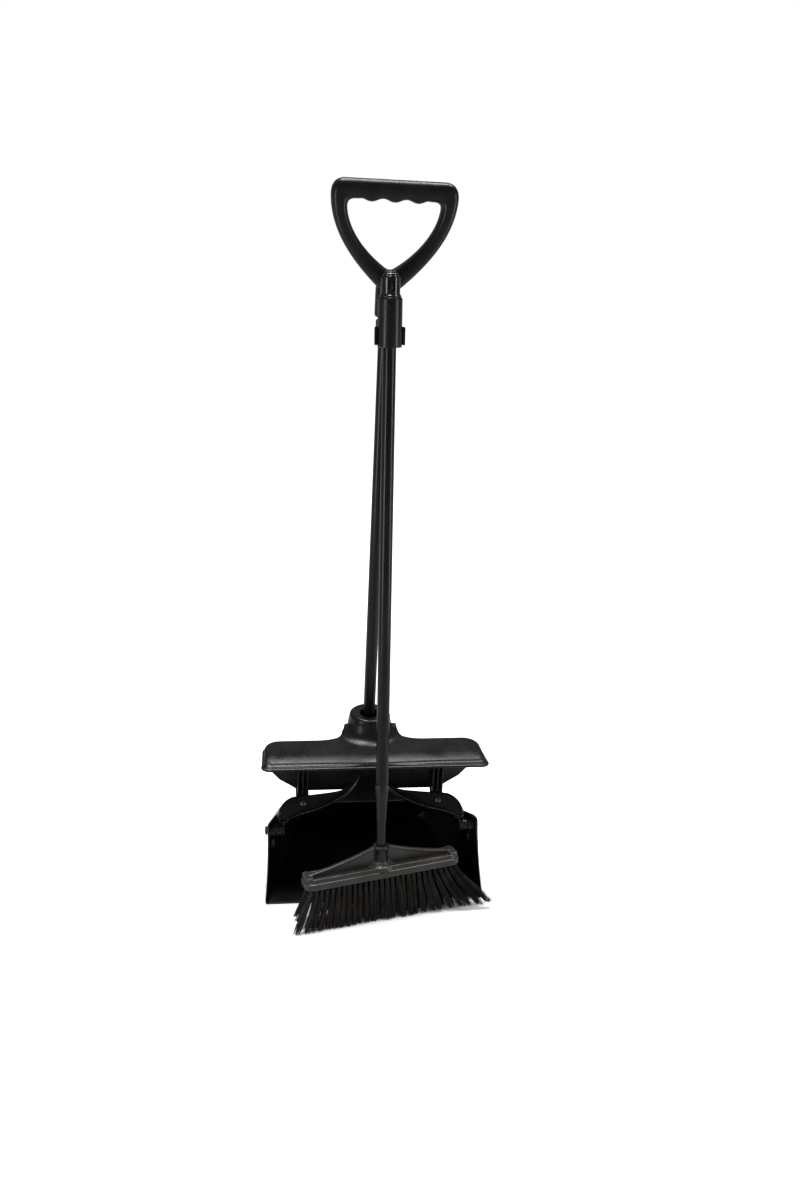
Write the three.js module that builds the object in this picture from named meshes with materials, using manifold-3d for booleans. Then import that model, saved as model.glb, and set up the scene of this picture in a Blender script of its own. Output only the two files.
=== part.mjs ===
// Long-handled dust pan and brush set: a hooded pan that swings in a wishbone yoke
// under an upright pole with a D handle, and a broom held upright in front of it.
// Millimetres. X is to the right, +Y to the back, +Z up.
// The origin is the centre of the pan's flat underside, on the floor.
import * as THREE from "three";
import { mergeVertices } from "three/addons/utils/BufferGeometryUtils.js";
import Module from "manifold-3d";

const wasm = await Module();
wasm.setup();

const deg = THREE.MathUtils.degToRad;
const GAP = 0.3; // clearance between pieces that touch

// Pan
const PAN_FRONT = -100; // the lip
const PAN_BACK = 100;
const PAN_WALL = 2.6;
const LIP_THICKNESS = 1.4;
const MOUTH_CORNER = { y: -52, z: 94 }; // front top corner of each side wall
const LIP_STEP = 4; // height of the wall where it meets the lip
const FLOOR_HALF_WIDTHS = [150, 137, 104]; // at the front, half way and the back
const TOP_HALF_WIDTHS = [153, 146, 116];
const SHOULDER_BACK = 30; // height of the side walls at the back
const CROWN_FRONT = 122; // height of the roof's ridge line at the pivots
const CROWN_BACK = 42;
const PAN_TAIL_RADIUS = 30; // how far the rear end is rounded in
const TAIL_DRAW = 0.62; // how much of that rounding the sides and roof take
const FLOOR_FILLET = 13;
const LIP_FILLET = 5; // the same fillet at the lip
const ROOF_CLEARANCE = 8.5; // of the roof's front edge below the middle of the yoke

// Pivot between pan and yoke
const PIVOT = { y: -42, z: 80 };
const PIN_RADIUS = 3;
const PIN_BORE = PIN_RADIUS + 0.25;
const PIN_LENGTH = 24;
const PIN_SEAT_X = 145.6; // where the head of the pin bears
const PIN_HEAD_RADIUS = 6;
const PIN_HEAD_THICKNESS = 3;
const BOSS_RADIUS = 9;
const BOSS_INNER_X = 133.8;
const BOSS_OUTER_X = 142.5;
const EYE_OUTER_X = 133.2;
const EYE_THICKNESS = 8;
const WASHER_THICKNESS = 2.4;
const WASHER_RADIUS = 7;

// Yoke: a wishbone band that leans back from the pivots to the foot of the pole
const YOKE_LEAN = deg(41); // above the horizontal
const YOKE_THICKNESS = 6;
const YOKE_BEAD = 2; // height of the raised edge round the arch
const HUB_RADIUS = 13.5;
const HUB_BOTTOM = 113;
const HUB_TOP = 174;
const HUB_FLOOR = 4;

// Hood
const HOOD_FRONT = -54;
const HOOD_BACK = 12;
const HOOD_HALF_WIDTH = 151;
const FRONT_FLARE = 3.5; // extra half width at the front edge
const HOOD_RIM_BOTTOM = 180;
const HOOD_TOP = 190;
const HOOD_WALL = 2.8;
const HOOD_CORNER = 18;
const RIM_STEP = 1.6; // how far the rim stands out
const RIM_HEIGHT = 3.2;
const BACK_WALL_BOTTOM = 111;
const NOTCH_HALF_WIDTH = 28; // of the gap that the yoke rises through
const NOTCH_TOP = 134;
const SOCKET_RADIUS = 29;
const SOCKET_BORE = 13.5;
const SOCKET_TOP = 218;
const SOCKET_FILLET = 7;
const SOCKET_ROUND = 5;
const LOBE_RADIUS = 37;
const SWEEP_START = 82; // where the back edge begins to sweep out to the lobe
const LUG_X = 95;
const LUG_WIDTH = 18;
const LUG_RIB = 3;
const LUG_SCREW = 36; // up the yoke's slope from the pivots
const SCREW_RADIUS = 2;
const SCREW_BORE = SCREW_RADIUS + 0.25;

// Pole and D handle
const POLE_Y = 38.5;
const POLE_TILT = deg(0.6); // to the left
const GRIP_SHIFT = 2.5; // of the D handle's loop to the right of the pole
const GRIP_TURN = deg(1.5); // of the D handle on the pole, back to the right
const POLE_RADIUS = 8.25;
const POLE_BORE = POLE_RADIUS + GAP; // of the pieces that the poles stand in
const TUBE_WALL = 1.2;
const TUBE_INSIDE = POLE_RADIUS - TUBE_WALL;
const POLE_BOTTOM = HUB_BOTTOM + HUB_FLOOR + GAP + 4;
const POLE_TOP = 806;
const PLUG_TOP = 140;
const POLE_SCREW_Z = 158;
const HANDLE_SCREW_Z = 788;
const STEM_RADIUS = 14;
const STEM_BOTTOM = 770;
const GRIP_TOP = 931;
const GRIP_DEPTH = 24;
const GRIP_ROUND = 8;
const GRIP_BAR_BOTTOM = 906.8;
const FINGER_PITCH = 28; // of the swellings under the bar
const FINGER_BUMP = 1.8;

// Broom: its axis leans back from the floor to the stem of the D handle
const BROOM_FOOT = { x: 3.5, y: -128 };
const BROOM_LEAN = Math.atan2(139, 831);
const BROOM_TILT = deg(0.75); // to the left
const HEAD_YAW = deg(11.5);
const HEAD_ROLL = deg(2.6); // the left end is the lower one
const HEAD_LENGTH = 218;
const HEAD_DEPTH = 36;
const BLOCK_BOTTOM = 59; // along the broom's axis
const BLOCK_THICKNESS = 13;
const BLOCK_END = 14; // length of the rounded part at each end
const GUSSET_THICKNESS = 7;
const FERRULE_RADIUS = 9.8;
const FERRULE_TOP = 100;
const SPIGOT_RADIUS = 5.6;
const SPIGOT_BOTTOM = 80;
const BROOM_TUBE_BOTTOM = 182;
const BROOM_TUBE_TOP = 812;
const SLEEVE_BOTTOM = 752;
const SLEEVE_TOP = 812;
const SLEEVE_RADIUS = 15;
const CAP_TOP = 842;
const CAP_RADIUS = 11.8;
const HANG_HOLE_RADIUS = 4.6;
const HANG_HOLE_DROP = 14; // from the top of the cap
const CLIP_BOTTOM = 744;
const CLIP_HEIGHT = 22;
const CLIP_WALL = 2.4;
const CLIP_BAND_RADIUS = POLE_BORE + 3.4;
const BRISTLE_ROWS = 4;
const ROW_SPACING = 9;
const ROW_THICKNESS = 6.5;
const ROW_SPREAD = 1.15; // how much further apart the rows are at their tips
const BRISTLE_SPLAY = 16; // how far the tips stand out past the block at each end
const FRONT_TIP_Z = 0.6;
const REAR_TIP_Z = 4.2; // over the pan's lip
const TUFTS = 22;
const TUFT_NOTCH = 0.4; // depth of the dip between two tufts, as a part of half the row

const plastic = (color, roughness) =>
  new THREE.MeshStandardMaterial({ color, roughness, metalness: 0 });
const steel = () =>
  new THREE.MeshStandardMaterial({ color: 0x17181a, roughness: 0.35, metalness: 0.7 });

// ---- solids -------------------------------------------------------------

// A closed geometry, placed by a matrix, as a manifold-3d solid facing out.
function solid(geometry, matrix = new THREE.Matrix4()) {
  const bare = geometry.index ? geometry.toNonIndexed() : geometry.clone();
  for (const name of Object.keys(bare.attributes)) {
    if (name !== "position") bare.deleteAttribute(name);
  }
  const merged = mergeVertices(bare.applyMatrix4(matrix), 1e-4);
  const triVerts = new Uint32Array(merged.index.array);
  const build = () =>
    new wasm.Manifold(
      new wasm.Mesh({ numProp: 3, vertProperties: merged.attributes.position.array, triVerts }),
    );
  const made = build();
  if (made.volume() > 0) return made;
  for (let i = 0; i < triVerts.length; i += 3) {
    [triVerts[i + 1], triVerts[i + 2]] = [triVerts[i + 2], triVerts[i + 1]];
  }
  return build();
}

function geometryOf(body) {
  const mesh = body.getMesh();
  const xyz = new Float32Array(mesh.numVert * 3);
  for (let i = 0; i < mesh.numVert; i++) {
    xyz.set(mesh.vertProperties.subarray(i * mesh.numProp, i * mesh.numProp + 3), i * 3);
  }
  const geometry = new THREE.BufferGeometry()
    .setAttribute("position", new THREE.BufferAttribute(xyz, 3))
    .setIndex(new THREE.BufferAttribute(new Uint32Array(mesh.triVerts), 1))
    .toNonIndexed();
  geometry.computeVertexNormals();
  return geometry;
}

const place = (x, y, z, rx = 0, ry = 0, rz = 0) =>
  new THREE.Matrix4().compose(
    new THREE.Vector3(x, y, z),
    new THREE.Quaternion().setFromEuler(new THREE.Euler(rx, ry, rz)),
    new THREE.Vector3(1, 1, 1),
  );

// A frame like base, turned about Y by angle round the point at height z on its axis.
const tilted = (base, z, angle) =>
  base.clone().multiply(place(0, 0, z, 0, angle, 0)).multiply(place(0, 0, -z));

const hubAxis = place(0, POLE_Y, 0);
const poleAxis = tilted(hubAxis, HUB_BOTTOM, -POLE_TILT);
const gripAxis = tilted(poleAxis, POLE_TOP, GRIP_TURN).multiply(place(GRIP_SHIFT, 0, 0));

const block = (x0, x1, y0, y1, z0, z1, matrix = new THREE.Matrix4()) =>
  solid(
    new THREE.BoxGeometry(x1 - x0, y1 - y0, z1 - z0).translate(
      (x0 + x1) / 2,
      (y0 + y1) / 2,
      (z0 + z1) / 2,
    ),
    matrix,
  );

// A turned piece about Z from [radius, height] points, closed on the axis or on itself.
const turned = (points, matrix, segments = 28) =>
  solid(
    new THREE.LatheGeometry(
      points.map(([r, z]) => new THREE.Vector2(r, z)),
      segments,
    ).rotateX(Math.PI / 2),
    matrix,
  );

const ring = (inner, outer, z0, z1) => [
  [inner, z0],
  [outer, z0],
  [outer, z1],
  [inner, z1],
  [inner, z0],
];

const disc = (radius, z0, z1) => [
  [0, z0],
  [radius, z0],
  [radius, z1],
  [0, z1],
];

// A rod along X of a frame, at height z on its axis.
const rodAcross = (radius, x0, x1, z, frame) =>
  turned(disc(radius, 0, x1 - x0), frame.clone().multiply(place(x0, 0, z, 0, Math.PI / 2, 0)), 16);

// A rod along X.
const crossRod = (radius, x0, x1, y, z, segments = 20) =>
  turned(disc(radius, 0, x1 - x0), place(x0, y, z, 0, Math.PI / 2, 0), segments);

// Joins rings of the same number of points into one closed skin with flat ends.
function loft(rings) {
  const count = rings[0].length;
  const xyz = rings.flat().flatMap((p) => [p.x, p.y, p.z]);
  const index = [];
  for (let i = 0; i < rings.length - 1; i++) {
    for (let j = 0; j < count; j++) {
      const a = i * count + j;
      const b = i * count + ((j + 1) % count);
      index.push(a, b, a + count, b, b + count, a + count);
    }
  }
  const end = (rings.length - 1) * count;
  for (let j = 1; j < count - 1; j++) {
    index.push(0, j + 1, j, end, end + j, end + j + 1);
  }
  return new THREE.BufferGeometry()
    .setAttribute("position", new THREE.Float32BufferAttribute(xyz, 3))
    .setIndex(index);
}

const root = new THREE.Group();
const broom = new THREE.Group();
broom.position.set(BROOM_FOOT.x, BROOM_FOOT.y, 0);
broom.rotation.set(-BROOM_LEAN, -BROOM_TILT, 0);
root.add(broom);

function add(name, body, material, parent = root) {
  const mesh = new THREE.Mesh(geometryOf(body), material);
  mesh.name = name;
  parent.add(mesh);
}

// ---- pan ----------------------------------------------------------------

const ramp = (y, y0, v0, y1, v1) => v0 + ((v1 - v0) * (y - y0)) / (y1 - y0);
const MIDDLE = PAN_FRONT / 2; // where the side walls change their taper
const tapered = (front, middle, back) => (y) =>
  y < MIDDLE ? ramp(y, PAN_FRONT, front, MIDDLE, middle) : ramp(y, MIDDLE, middle, PAN_BACK, back);
const floorHalfWidth = tapered(...FLOOR_HALF_WIDTHS);
const topHalfWidth = tapered(...TOP_HALF_WIDTHS);
const shoulderHeight = (y) => ramp(y, MOUTH_CORNER.y, MOUTH_CORNER.z - 1, PAN_BACK, SHOULDER_BACK);
const crownHeight = (y) => ramp(y, PIVOT.y, CROWN_FRONT, PAN_BACK, CROWN_BACK);

// One closed section of the pan's skin at y, drawn in by inset, with its floor at floorZ.
function panSection(y, inset, floorZ) {
  const foot = floorHalfWidth(y) - inset;
  const top = topHalfWidth(y) - inset;
  const shoulder = shoulderHeight(y) - inset;
  const crown = crownHeight(y) - inset;
  const fillet = y < -60 ? ramp(y, PAN_FRONT, LIP_FILLET, -60, FLOOR_FILLET) : FLOOR_FILLET;
  const radius = Math.max(fillet - inset, 2);
  const along = radius / (shoulder - floorZ);
  const corner = new THREE.QuadraticBezierCurve(
    new THREE.Vector2(foot - radius, floorZ),
    new THREE.Vector2(foot, floorZ),
    new THREE.Vector2(foot + (top - foot) * along, floorZ + radius),
  ).getPoints(4);
  const roof = new THREE.CubicBezierCurve(
    new THREE.Vector2(top, shoulder),
    new THREE.Vector2(top - 1, shoulder + (crown - shoulder) * 0.55),
    new THREE.Vector2(top * 0.62, crown),
    new THREE.Vector2(0, crown),
  ).getPoints(8);
  const half = [...corner, ...roof];
  const left = half
    .slice(0, -1)
    .reverse()
    .map((p) => new THREE.Vector2(-p.x, p.y));
  return [...half, ...left].map((p) => new THREE.Vector3(p.x, y, p.y));
}

function panSkin(inset, front, back, floorAt) {
  const straight = 5;
  const rounded = 4;
  const turn = PAN_TAIL_RADIUS - inset;
  const sections = [];
  for (let i = 0; i <= straight; i++) {
    const y = ramp(i, 0, front, straight, back - turn);
    sections.push(panSection(y, inset, floorAt(y)));
  }
  for (let i = 1; i <= rounded; i++) {
    const angle = (i / rounded) * deg(78);
    const y = back - turn + turn * Math.sin(angle);
    const drawnIn = turn * (1 - Math.cos(angle)) * TAIL_DRAW;
    sections.push(panSection(y, inset + drawnIn, floorAt(y)));
  }
  return solid(loft(sections));
}

function panBody() {
  const rise = MOUTH_CORNER.z - LIP_STEP;
  const mouthSlope = Math.atan2(rise, MOUTH_CORNER.y - PAN_FRONT);
  const inFrontOfMouth = block(-200, 200, -300, 300, 0, 300, place(0, PAN_FRONT, LIP_STEP, mouthSlope));
  const roomWidth = EYE_OUTER_X + 1;
  const roofCut = place(0, PIVOT.y, PIVOT.z - ROOF_CLEARANCE / Math.cos(YOKE_LEAN), YOKE_LEAN);
  const aboveYoke = block(-roomWidth, roomWidth, -60, 300, 0, 200, roofCut);
  const floorAt = (y) =>
    y < -60 ? ramp(y, PAN_FRONT - 10, LIP_THICKNESS, -60, PAN_WALL) : PAN_WALL;
  let body = panSkin(0, PAN_FRONT, PAN_BACK, () => 0);
  let hollow = panSkin(PAN_WALL, PAN_FRONT - 10, PAN_BACK - PAN_WALL, floorAt);
  for (const side of [-1, 1]) {
    const x0 = side < 0 ? -BOSS_OUTER_X : BOSS_INNER_X;
    const boss = crossRod(BOSS_RADIUS, x0, x0 + BOSS_OUTER_X - BOSS_INNER_X, PIVOT.y, PIVOT.z);
    body = body.add(boss);
    hollow = hollow.subtract(boss);
  }
  return body
    .subtract(hollow)
    .subtract(inFrontOfMouth)
    .subtract(aboveYoke)
    .subtract(crossRod(PIN_BORE, -200, 200, PIVOT.y, PIVOT.z));
}

function pivotPin(side) {
  const profile = [
    [0, -PIN_HEAD_THICKNESS],
    [PIN_HEAD_RADIUS - 1.4, -PIN_HEAD_THICKNESS],
    [PIN_HEAD_RADIUS, -PIN_HEAD_THICKNESS + 1.4],
    [PIN_HEAD_RADIUS, 0],
    [PIN_RADIUS, 0],
    [PIN_RADIUS, PIN_LENGTH],
    [0, PIN_LENGTH],
  ];
  return turned(profile, place(side * PIN_SEAT_X, PIVOT.y, PIVOT.z, 0, (-side * Math.PI) / 2, 0), 20);
}

function pivotWasher(side) {
  const inner = EYE_OUTER_X - EYE_THICKNESS - GAP;
  const x0 = side < 0 ? -inner : inner - WASHER_THICKNESS;
  const section = ring(PIN_RADIUS + 0.2, WASHER_RADIUS, 0, WASHER_THICKNESS);
  return turned(section, place(x0, PIVOT.y, PIVOT.z, 0, Math.PI / 2, 0), 20);
}

// ---- yoke ---------------------------------------------------------------

const yokePlane = place(0, PIVOT.y, PIVOT.z, YOKE_LEAN);

// Half outlines in the yoke's plane: x across, y up the slope from the pivots.
const OUTER_EDGE = [
  [132.5, 0],
  [131.5, 18],
  [125, 34],
  [113, 44],
  [100, 47],
  [70, 50],
  [42, 54],
  [27, 62],
  [19, 76],
];
const ARCH_EDGE = [
  [125, 2],
  [117, 11.5],
  [108, 16.5],
  [96, 20.5],
  [80, 24.5],
  [60, 32],
  [43, 41],
  [28, 53],
  [18, 66],
  [12, 80],
];
const CROWN_EDGE = [
  [10, 100],
  [-10, 100],
];
const SLOT_TOP = [
  [-6, 88],
  [6, 88],
];
const WEB_EDGE = [
  [30, 37],
  [46, 39],
  [44, 50],
  [26, 59],
  [17, 75],
  [9, 97],
];

const vectors = (points) => points.map(([x, y]) => new THREE.Vector2(x, y));
const smooth = (points, count) => new THREE.SplineCurve(vectors(points)).getPoints(count);
const flipped = (points) => points.map((p) => new THREE.Vector2(-p.x, p.y));
const mirrored = (points) => flipped(points).reverse();

const extruded = (shape, depth, from, matrix, curveSegments = 8) =>
  solid(
    new THREE.ExtrudeGeometry(shape, { depth, bevelEnabled: false, curveSegments }).translate(0, 0, from),
    matrix,
  );

function yokeBody() {
  const half = YOKE_THICKNESS / 2;
  const outer = smooth(OUTER_EDGE, 20);
  const arch = smooth(ARCH_EDGE, 18);
  const outline = new THREE.Shape([
    ...outer,
    ...vectors(CROWN_EDGE),
    ...mirrored(outer),
    ...flipped(arch),
    ...vectors(SLOT_TOP),
    ...[...arch].reverse(),
  ]);
  let body = extruded(outline, YOKE_THICKNESS, -half, yokePlane);
  const beadOuter = arch.map((p) => new THREE.Vector2(p.x + 3, p.y + 2.6)).reverse();
  const beadInner = arch.map((p) => new THREE.Vector2(p.x + 0.5, p.y + 0.4));
  const faced = EYE_OUTER_X - EYE_THICKNESS;
  for (const side of [-1, 1]) {
    const bead = [...beadInner, ...beadOuter].map((p) => new THREE.Vector2(side * p.x, p.y));
    body = body.add(extruded(new THREE.Shape(bead), YOKE_BEAD + 1, half - 1, yokePlane));
    const x0 = side < 0 ? -EYE_OUTER_X : faced;
    body = body.add(crossRod(BOSS_RADIUS - 1, x0, x0 + EYE_THICKNESS, PIVOT.y, PIVOT.z));
  }
  const web = vectors(WEB_EDGE);
  body = body.add(extruded(new THREE.Shape([...web, ...mirrored(web)]), 2, 0.6 - half, yokePlane));
  body = body.add(turned(disc(HUB_RADIUS, HUB_BOTTOM, HUB_TOP), hubAxis));
  body = body.subtract(turned(disc(POLE_BORE, HUB_BOTTOM + HUB_FLOOR, HUB_TOP + 1), poleAxis));
  const roomDepth = WASHER_THICKNESS + 4;
  for (const side of [-1, 1]) {
    const lugAxis = place(side * LUG_X, LUG_SCREW, 0).premultiply(yokePlane);
    body = body.subtract(turned(disc(SCREW_BORE, -20, 20), lugAxis, 16));
    const x0 = side < 0 ? -faced : faced - roomDepth;
    body = body.subtract(crossRod(WASHER_RADIUS + 0.6, x0, x0 + roomDepth, PIVOT.y, PIVOT.z));
  }
  return body
    .subtract(rodAcross(SCREW_BORE, -40, 40, POLE_SCREW_Z, poleAxis))
    .subtract(crossRod(PIN_BORE, -200, 200, PIVOT.y, PIVOT.z));
}

// ---- hood ---------------------------------------------------------------

// Plan outline of the hood, drawn in by inset: a bar with rounded back corners, whose back edge
// sweeps out on both sides into a lobe round the socket.
function hoodPlan(inset) {
  const w = HOOD_HALF_WIDTH - inset;
  const back = HOOD_BACK - inset;
  const r = HOOD_CORNER;
  const lobe = LOBE_RADIUS - inset;
  const sweep = SWEEP_START - inset;
  const shape = new THREE.Shape();
  shape.moveTo(-w - FRONT_FLARE, HOOD_FRONT + inset);
  shape.lineTo(w + FRONT_FLARE, HOOD_FRONT + inset);
  shape.lineTo(w, back - r);
  shape.absarc(w - r, back - r, r, 0, Math.PI / 2, false);
  shape.lineTo(sweep, back);
  shape.bezierCurveTo(sweep - 26, back, lobe, back + 8, lobe, POLE_Y);
  shape.absarc(0, POLE_Y, lobe, 0, Math.PI, false);
  shape.bezierCurveTo(-lobe, back + 8, 26 - sweep, back, -sweep, back);
  shape.lineTo(r - w, back);
  shape.absarc(r - w, back - r, r, Math.PI / 2, Math.PI, false);
  shape.closePath();
  return shape;
}

// The socket and the fillet at its foot, as a turned profile.
function socketProfile() {
  const foot = HOOD_TOP - HOOD_WALL + 0.4;
  const profile = [
    [SOCKET_BORE, foot],
    [LOBE_RADIUS + 6, foot],
    [LOBE_RADIUS + 6, HOOD_TOP - 0.5],
  ];
  for (let i = 1; i <= 5; i++) {
    const angle = (i / 5) * (Math.PI / 2);
    const radius = SOCKET_RADIUS + SOCKET_FILLET * (1 - Math.sin(angle));
    profile.push([radius, HOOD_TOP - 0.5 + SOCKET_FILLET * (1 - Math.cos(angle))]);
  }
  for (let i = 0; i <= 4; i++) {
    const angle = (i / 4) * (Math.PI / 2);
    profile.push([
      SOCKET_RADIUS - SOCKET_ROUND + SOCKET_ROUND * Math.cos(angle),
      SOCKET_TOP - SOCKET_ROUND + SOCKET_ROUND * Math.sin(angle),
    ]);
  }
  profile.push([SOCKET_BORE + 1.5, SOCKET_TOP], [SOCKET_BORE, SOCKET_TOP - 1.5], [SOCKET_BORE, foot]);
  return profile;
}

const BACK_WALL = [
  [146, HOOD_TOP - 2],
  [141, 146],
  [127, 130],
  [113, 121],
  [103, 114],
  [92, BACK_WALL_BOTTOM],
  [NOTCH_HALF_WIDTH, BACK_WALL_BOTTOM],
  [NOTCH_HALF_WIDTH, NOTCH_TOP - 14],
  [NOTCH_HALF_WIDTH - 4, NOTCH_TOP],
];

function hoodBody() {
  const slab = (inset, z0, z1) => extruded(hoodPlan(inset), z1 - z0, z0);
  const skin = RIM_STEP + HOOD_WALL;
  let body = slab(RIM_STEP, HOOD_RIM_BOTTOM, HOOD_TOP)
    .add(slab(0, HOOD_RIM_BOTTOM, HOOD_RIM_BOTTOM + RIM_HEIGHT))
    .subtract(slab(skin, HOOD_RIM_BOTTOM - 1, HOOD_TOP - HOOD_WALL));
  const socket = turned(socketProfile(), hubAxis, 36);
  body = body
    .add(socket.intersect(slab(RIM_STEP + 0.5, HOOD_RIM_BOTTOM, SOCKET_TOP + 1)))
    .subtract(turned(disc(SOCKET_BORE, HOOD_RIM_BOTTOM - 5, SOCKET_TOP + 5), hubAxis, 36));
  const half = vectors(BACK_WALL);
  const wall = new THREE.Shape([...half, ...mirrored(half)]);
  const wallBack = place(0, HOOD_BACK - RIM_STEP - 0.2, 0, Math.PI / 2);
  body = body.add(extruded(wall, HOOD_WALL, 0, wallBack));
  const under = -YOKE_THICKNESS / 2 - GAP;
  for (const side of [-1, 1]) {
    const x = side * LUG_X;
    const rib = [x - LUG_RIB / 2, x + LUG_RIB / 2];
    const lug = block(x - LUG_WIDTH / 2, x + LUG_WIDTH / 2, 28, 67, under - 4, under, yokePlane);
    body = body
      .add(lug)
      .add(block(...rib, -6, HOOD_BACK - 3, 122, HOOD_TOP - 2))
      .add(block(...rib, 52, 66, under - 1, under + 12, yokePlane))
      .subtract(turned(disc(SCREW_BORE, -20, 20), place(x, LUG_SCREW, 0).premultiply(yokePlane), 16));
  }
  return body;
}

// A pan-head screw along its own Z, with its head above z = 0.
function screw(length, headRadius, matrix) {
  const profile = [
    [0, -length],
    [SCREW_RADIUS, -length],
    [SCREW_RADIUS, 0],
    [headRadius, 0],
    [headRadius, 1.4],
    [headRadius * 0.6, 2.8],
    [0, 2.8],
  ];
  return turned(profile, matrix, 16);
}

// ---- pole and D handle --------------------------------------------------

// The inner edge of the D handle, from the middle of its bar round to the apex.
function gripHole() {
  const steps = 18;
  const fingers = [];
  for (let i = 0; i <= steps; i++) {
    const x = ramp(i, 0, -1.5 * FINGER_PITCH, steps, 1.5 * FINGER_PITCH);
    const swell = FINGER_BUMP * Math.cos((2 * Math.PI * x) / FINGER_PITCH);
    fingers.push(new THREE.Vector2(x, GRIP_BAR_BOTTOM - swell));
  }
  const corner = new THREE.QuadraticBezierCurve(
    new THREE.Vector2(48, 908),
    new THREE.Vector2(57, 907.5),
    new THREE.Vector2(56, 897),
  ).getPoints(4);
  const leg = new THREE.CubicBezierCurve(
    new THREE.Vector2(56, 897),
    new THREE.Vector2(52, 868),
    new THREE.Vector2(27, 842),
    new THREE.Vector2(3, 826.5),
  ).getPoints(9);
  const side = [...corner, ...leg.slice(1)];
  return new THREE.Path([...fingers, ...side, ...mirrored(side)].reverse());
}

function dHandle() {
  const shape = new THREE.Shape();
  shape.moveTo(-62, GRIP_TOP);
  shape.bezierCurveTo(-71, GRIP_TOP, -77, 924, -76.5, 914);
  shape.bezierCurveTo(-75, 872, -50, 838, -15, POLE_TOP);
  shape.lineTo(15, POLE_TOP);
  shape.bezierCurveTo(50, 838, 75, 872, 76.5, 914);
  shape.bezierCurveTo(77, 924, 71, GRIP_TOP, 62, GRIP_TOP);
  shape.closePath();
  shape.holes.push(gripHole());
  const loop = new THREE.ExtrudeGeometry(shape, {
    depth: GRIP_DEPTH - 2 * GRIP_ROUND,
    bevelEnabled: true,
    bevelThickness: GRIP_ROUND,
    bevelSize: GRIP_ROUND,
    bevelOffset: -GRIP_ROUND,
    bevelSegments: 3,
    curveSegments: 10,
  });
  const upright = gripAxis.clone().multiply(place(0, 0, 0, Math.PI / 2));
  const grip = solid(loop.translate(0, 0, GRIP_ROUND - GRIP_DEPTH / 2), upright);
  const stem = turned(
    [
      [0, STEM_BOTTOM],
      [STEM_RADIUS - 1, STEM_BOTTOM],
      [STEM_RADIUS, STEM_BOTTOM + 1],
      [STEM_RADIUS, POLE_TOP],
      [STEM_RADIUS - 2, POLE_TOP + 12],
      [STEM_RADIUS - 6, POLE_TOP + 18],
      [0, POLE_TOP + 18],
    ],
    poleAxis,
  );
  return grip
    .add(stem)
    .subtract(turned(disc(POLE_BORE, STEM_BOTTOM - 1, POLE_TOP + 1), poleAxis))
    .subtract(rodAcross(SCREW_BORE, 0, 20, HANDLE_SCREW_Z, poleAxis));
}

const panPole = () =>
  turned(ring(TUBE_INSIDE, POLE_RADIUS, POLE_BOTTOM, POLE_TOP), poleAxis)
    .subtract(rodAcross(SCREW_BORE, -20, 20, POLE_SCREW_Z, poleAxis))
    .subtract(rodAcross(SCREW_BORE, 0, 20, HANDLE_SCREW_Z, poleAxis));

function polePlug() {
  const z = HUB_BOTTOM + HUB_FLOOR + GAP;
  const inner = TUBE_INSIDE - 0.25;
  const profile = [
    [0, z],
    [POLE_RADIUS, z],
    [POLE_RADIUS, POLE_BOTTOM - GAP],
    [inner, POLE_BOTTOM - GAP],
    [inner, PLUG_TOP],
    [0, PLUG_TOP],
  ];
  return turned(profile, poleAxis);
}

// ---- broom clip: grips the pole, and holds the broom's sleeve from behind ----

const broomFrame = new THREE.Matrix4().compose(
  new THREE.Vector3(BROOM_FOOT.x, BROOM_FOOT.y, 0),
  new THREE.Quaternion().setFromEuler(new THREE.Euler(-BROOM_LEAN, -BROOM_TILT, 0)),
  new THREE.Vector3(1, 1, 1),
);

const CLIP_MIDDLE = CLIP_BOTTOM + CLIP_HEIGHT / 2;

function clipBody() {
  const top = CLIP_BOTTOM + CLIP_HEIGHT;
  const jawInner = SLEEVE_RADIUS + 0.5;
  const along = CLIP_MIDDLE / Math.cos(BROOM_LEAN);
  const jaw0 = along - CLIP_HEIGHT / 2;
  const jaw1 = along + CLIP_HEIGHT / 2;
  const inward = poleAxis.clone().multiply(place(0, 0, CLIP_MIDDLE, -Math.PI / 2));
  const bridge = block(-8, 6, 8 - POLE_Y, 0, CLIP_BOTTOM, top, poleAxis);
  return turned(disc(CLIP_BAND_RADIUS, CLIP_BOTTOM, top), poleAxis)
    .add(bridge)
    .add(turned(disc(jawInner + CLIP_WALL, jaw0, jaw1), broomFrame))
    .subtract(turned(disc(jawInner, jaw0 - 20, jaw1 + 20), broomFrame))
    .subtract(block(-40, 40, -60, -1, jaw0 - 20, jaw1 + 20, broomFrame))
    .subtract(turned(disc(POLE_BORE, CLIP_BOTTOM - 5, top + 5), poleAxis))
    .subtract(turned(disc(SCREW_BORE, 0, 30), inward, 16));
}

// ---- broom, in its own frame: Z along its axis from the floor ----

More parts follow.
